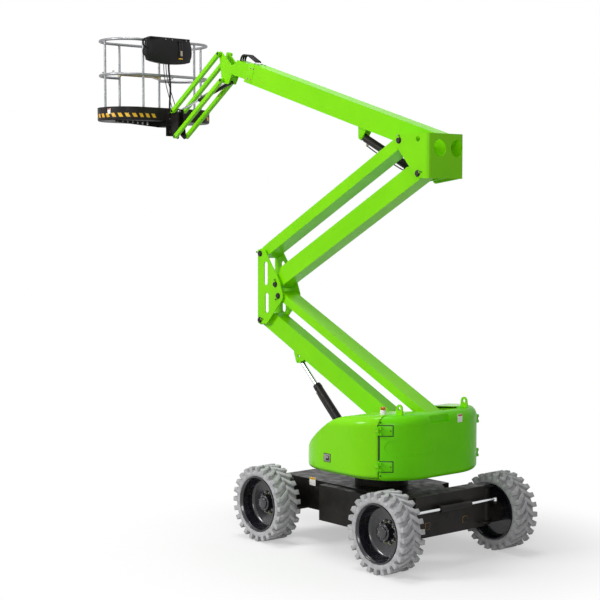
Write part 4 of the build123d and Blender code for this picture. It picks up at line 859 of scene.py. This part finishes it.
def make_control_box():
    """Padded control box: a bulged hood over the console, a document tube, grab loops and cables."""
    low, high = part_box("control_box")
    middle, size = (low + high) / 2, high - low
    shape = bmesh.new()
    bmesh.ops.create_cube(shape, size=1.0, matrix=Matrix.Translation(middle) @ Matrix.Diagonal((*size, 1.0)))
    for axis, cuts in ((Vector((0, 1, 0)), 9), (Vector((0, 0, 1)), 6)):
        for i in range(1, cuts):
            place = low + Vector(axis) * size.dot(axis) * i / cuts
            bmesh.ops.bisect_plane(shape, geom=shape.verts[:] + shape.edges[:] + shape.faces[:],
                                   plane_co=place, plane_no=axis)
    for vert in shape.verts:
        side = 2 * (vert.co.y - middle.y) / size.y
        rise = 2 * (vert.co.z - middle.z) / size.z
        if vert.co.x < middle.x:
            vert.co.x += 0.050 * side * side + 0.018 * rise * rise
        if rise < -0.95:
            vert.co.z += 0.040 * side * side
        if rise > 0.95:
            vert.co.z -= 0.010 * side * side
        if abs(side) > 0.95:
            vert.co.y -= 0.028 * rise * rise * (1 if side > 0 else -1)
    hard = [e for e in shape.edges if len(e.link_faces) == 2 and e.calc_face_angle(0) > 0.7]
    round_edges(shape, hard, 0.016, 4)
    # console lid over the box
    add_slab(shape, (middle.x + 0.010, middle.y, high.z - 0.012), (size.x * 0.72, size.y * 0.86, 0.022),
             0.007)
    # document tube with its cap and collar
    tube = Vector((low.x + 0.012, middle.y - size.y * 0.20, middle.z + 0.015))
    body, cap = Vector((0, 0, 0.105)), Vector((0, 0, 0.128))
    add_rod(shape, tube - body, tube + body, 0.030, 32, rounding=0.004, finish=1)
    add_rod(shape, tube + body, tube + cap, 0.034, 32, rounding=0.006, finish=0)
    add_rod(shape, tube - cap, tube - body, 0.033, 32, rounding=0.004, finish=0)
    add_slab(shape, tube + Vector((-0.0285, 0, -0.045)), (0.004, 0.030, 0.070), 0.001, finish=2)
    for y in (0.12, -0.02, -0.33):
        screw = Vector((low.x + 0.014, middle.y + y * size.y, high.z - 0.030))
        add_rod(shape, screw, screw - Vector((0.008, 0, 0)), 0.008, 16, rounding=0.001, finish=3)
    save_piece("control_box_hood", shape, "cage", [PLASTIC, HOSE, AMBER, ZINC], stands_for=["control_box"])
    for i, (top, bottom) in enumerate(((0.030, 0.145), (0.155, 0.265))):
        x, y = middle.x - 0.01, high.y - 0.030
        line = [(x, y, high.z - top), (x, y + 0.075, high.z - top),
                (x, y + 0.090, high.z - (top + bottom) / 2),
                (x, y + 0.075, high.z - bottom), (x, y, high.z - bottom)]
        bent_tube(f"grab_loop_{i}", line, 0.0085, "cage", PLASTIC)
    for i, y in enumerate((0.090, 0.055)):
        start = Vector((middle.x, middle.y + y, low.z + 0.020))
        end = Vector((CAGE_LOW.x - 0.012, start.y - 0.16 - 0.03 * i, CAGE_HIGH.z - 0.02))
        line = [start, start + Vector((0.004, 0, -0.12)), start.lerp(end, 0.45) + Vector((0.0, 0.035, 0)),
                start.lerp(end, 0.8) + Vector((-0.006, 0.02, 0)), end]
        bent_tube(f"control_cable_{i}", line, 0.0055, "cage", HOSE)


def make_rail_details():
    """Clips on the middle rail, and the chain that hangs from it on the near side."""
    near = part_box("cage_rails")[0].x + 0.020
    shape = bmesh.new()
    for side in (1, -1):
        for x in (-0.20, 0.05):
            place = Vector((CAGE_MIDDLE.x + x, CAGE_MIDDLE.y + side * 0.788, MID_RAIL + 0.032))
            add_slab(shape, place, (0.040, 0.012, 0.016), 0.002)
    links, sag = 22, 0.075
    start = Vector((near, CAGE_MIDDLE.y + 0.30, MID_RAIL - 0.022))
    end = Vector((near, CAGE_MIDDLE.y - 0.08, MID_RAIL - 0.022))
    for i in range(links):
        share = (i + 0.5) / links
        place = start.lerp(end, share) - Vector((-0.012, 0, 4 * sag * share * (1 - share) * 0.5))
        turn = Matrix.Rotation(pi / 2 * (i % 2), 3, "Y") @ Matrix.Rotation(pi / 2, 3, "X")
        ring = [(0.0042 * cos(a * pi / 3) + 0.0075, 0.0024 * sin(a * pi / 3)) for a in range(6)]
        add_turned(shape, ring, place, turn @ Vector((0, 0, 1)), 12)
    save_piece("cage_fittings", shape, "cage", [ZINC])


def make_support_details():
    """Bolts on the bracket that carries the cage, close to its middle so that they pass the jib's bars."""
    low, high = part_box("cage_support")
    pivot = PINS["cage_swing"]
    shape = bmesh.new()
    for z in (high.z - 0.045, high.z - 0.13, low.z + 0.06, low.z + 0.15):
        for y in (-0.028, 0.028):
            foot = Vector((CAGE_LOW.x - 0.010, pivot.y + y, z))
            washer = foot - Vector((0.004, 0, 0))
            add_rod(shape, foot, washer, 0.014, 24, finish=1)
            add_rod(shape, washer, foot - Vector((0.014, 0, 0)), 0.0105, 6, rounding=0.0012, finish=1)
    add_rod(shape, (pivot.x, pivot.y, high.z - 0.004), (pivot.x, pivot.y, high.z + 0.012), 0.030, 6,
            rounding=0.003, finish=0)
    save_piece("support_fittings", shape, "cage", [PIN, ZINC])


# ---- camera, floor and lights ----
CAMERA_PLACE = Vector((-13.606, 10.975, 3.751))
CAMERA_HEADING = 39.946      # degrees, from +X towards -Y
CAMERA_PITCH = -3.561
CAMERA_LENS = 86.06
FLOOR_LIFT = 0.45            # share of the floor's white that isn't left to the lamps


def set_camera():
    """Camera at eye level behind the counterweight's left corner, with a long lens."""
    camera = bpy.data.cameras.new("camera")
    camera.lens, camera.sensor_width = CAMERA_LENS, 36.0
    camera.clip_end = 200.0
    mount = bpy.data.objects.new("camera", camera)
    bpy.context.scene.collection.objects.link(mount)
    heading, pitch = radians(-CAMERA_HEADING), radians(CAMERA_PITCH)
    looking = Vector((cos(heading) * cos(pitch), sin(heading) * cos(pitch), sin(pitch)))
    mount.location = CAMERA_PLACE
    mount.rotation_euler = looking.to_track_quat("-Z", "Y").to_euler()
    bpy.context.scene.camera = mount


def background_rays(tree):
    """1 for the rays that should meet a plain white background: seen, reflected or through glass."""
    path = add_node(tree, "ShaderNodeLightPath")
    direct = add_node(tree, "ShaderNodeMath", {0: path.outputs["Is Camera Ray"],
                                               1: path.outputs["Is Transmission Ray"]}, operation="MAXIMUM")
    return add_node(tree, "ShaderNodeMath", {0: direct.outputs["Value"], 1: path.outputs["Is Glossy Ray"]},
                    operation="MAXIMUM").outputs["Value"]


def set_floor():
    """White studio floor: it keeps the shadow near the machine and is plain white further out."""
    shape = bmesh.new()
    bmesh.ops.create_grid(shape, x_segments=1, y_segments=1, size=60.0)
    mesh = bpy.data.meshes.new("floor")
    shape.to_mesh(mesh)
    shape.free()
    floor = bpy.data.objects.new("floor", mesh)
    bpy.context.scene.collection.objects.link(floor)
    floor.location.z = -0.0005
    material, tree, shader = start_material("studio_floor", "#f2f2f2", 0.9)
    place = add_node(tree, "ShaderNodeTexCoord").outputs["Object"]
    centred = add_node(tree, "ShaderNodeVectorMath", {0: place, 1: (-1.93, 0.0, 0.0)}, operation="SUBTRACT")
    away = add_node(tree, "ShaderNodeVectorMath", {0: centred.outputs["Vector"]}, operation="LENGTH")
    far = add_node(tree, "ShaderNodeMapRange", {"Value": away.outputs["Value"], "From Min": 1.5,
                                                "From Max": 3.4}, interpolation_type="SMOOTHSTEP")
    seen = background_rays(tree)
    share = add_node(tree, "ShaderNodeMath", {0: far.outputs["Result"], 1: seen}, operation="MULTIPLY")
    white = add_node(tree, "ShaderNodeEmission", {"Color": (1, 1, 1, 1), "Strength": 1.0})
    lift = add_node(tree, "ShaderNodeEmission", {"Color": (1, 1, 1, 1), "Strength": seen})
    # the floor's own light fills the soft shadow, as white paper under studio lamps does
    near = add_node(tree, "ShaderNodeMixShader", {0: FLOOR_LIFT, 1: shader.outputs["BSDF"],
                                                  2: lift.outputs["Emission"]})
    mixed = add_node(tree, "ShaderNodeMixShader", {0: share.outputs["Value"], 1: near.outputs["Shader"],
                                                   2: white.outputs["Emission"]})
    tree.links.new(mixed.outputs["Shader"], tree.nodes["Material Output"].inputs["Surface"])
    floor.data.materials.append(material)


def area_light(name, place, target, size, power):
    """Round soft box that faces a target."""
    light = bpy.data.lights.new(name, "AREA")
    light.shape, light.size, light.energy = "DISK", size, power
    lamp = bpy.data.objects.new(name, light)
    bpy.context.scene.collection.objects.link(lamp)
    lamp.location = place
    lamp.rotation_euler = (Vector(target) - Vector(place)).to_track_quat("-Z", "Y").to_euler()


def set_lights():
    """Three soft boxes and a dim white surround."""
    world = bpy.data.worlds.new("studio")
    bpy.context.scene.world = world
    world.use_nodes = True
    tree = world.node_tree
    tree.nodes.clear()
    soft = add_node(tree, "ShaderNodeBackground", {"Color": (1, 1, 1, 1), "Strength": 0.22})
    white = add_node(tree, "ShaderNodeBackground", {"Color": (1, 1, 1, 1), "Strength": 1.0})
    mixed = add_node(tree, "ShaderNodeMixShader", {0: background_rays(tree), 1: soft.outputs["Background"],
                                                   2: white.outputs["Background"]})
    output = add_node(tree, "ShaderNodeOutputWorld")
    tree.links.new(mixed.outputs["Shader"], output.inputs["Surface"])
    area_light("key", (3.5, 13.0, 10.0), (0.0, 0.0, 2.5), 6.0, 1420)
    area_light("front", (-13.0, 9.5, 5.5), (0.0, 0.0, 2.5), 5.0, 520)
    area_light("top", (0.0, 1.0, 15.0), (0.0, 0.0, 0.0), 6.0, 800)


bpy.context.scene.view_settings.view_transform = "Standard"
set_camera()
set_floor()
set_lights()
dress_cad()
make_wheels()
make_pins()
make_hinges()
make_turret_labels()
make_latch()
make_beacon()
make_chassis_details()
make_hub_motors()
make_wear_pads()
make_cylinder_details()
make_hazard_tape()
make_control_box()
make_rail_details()
make_support_details()
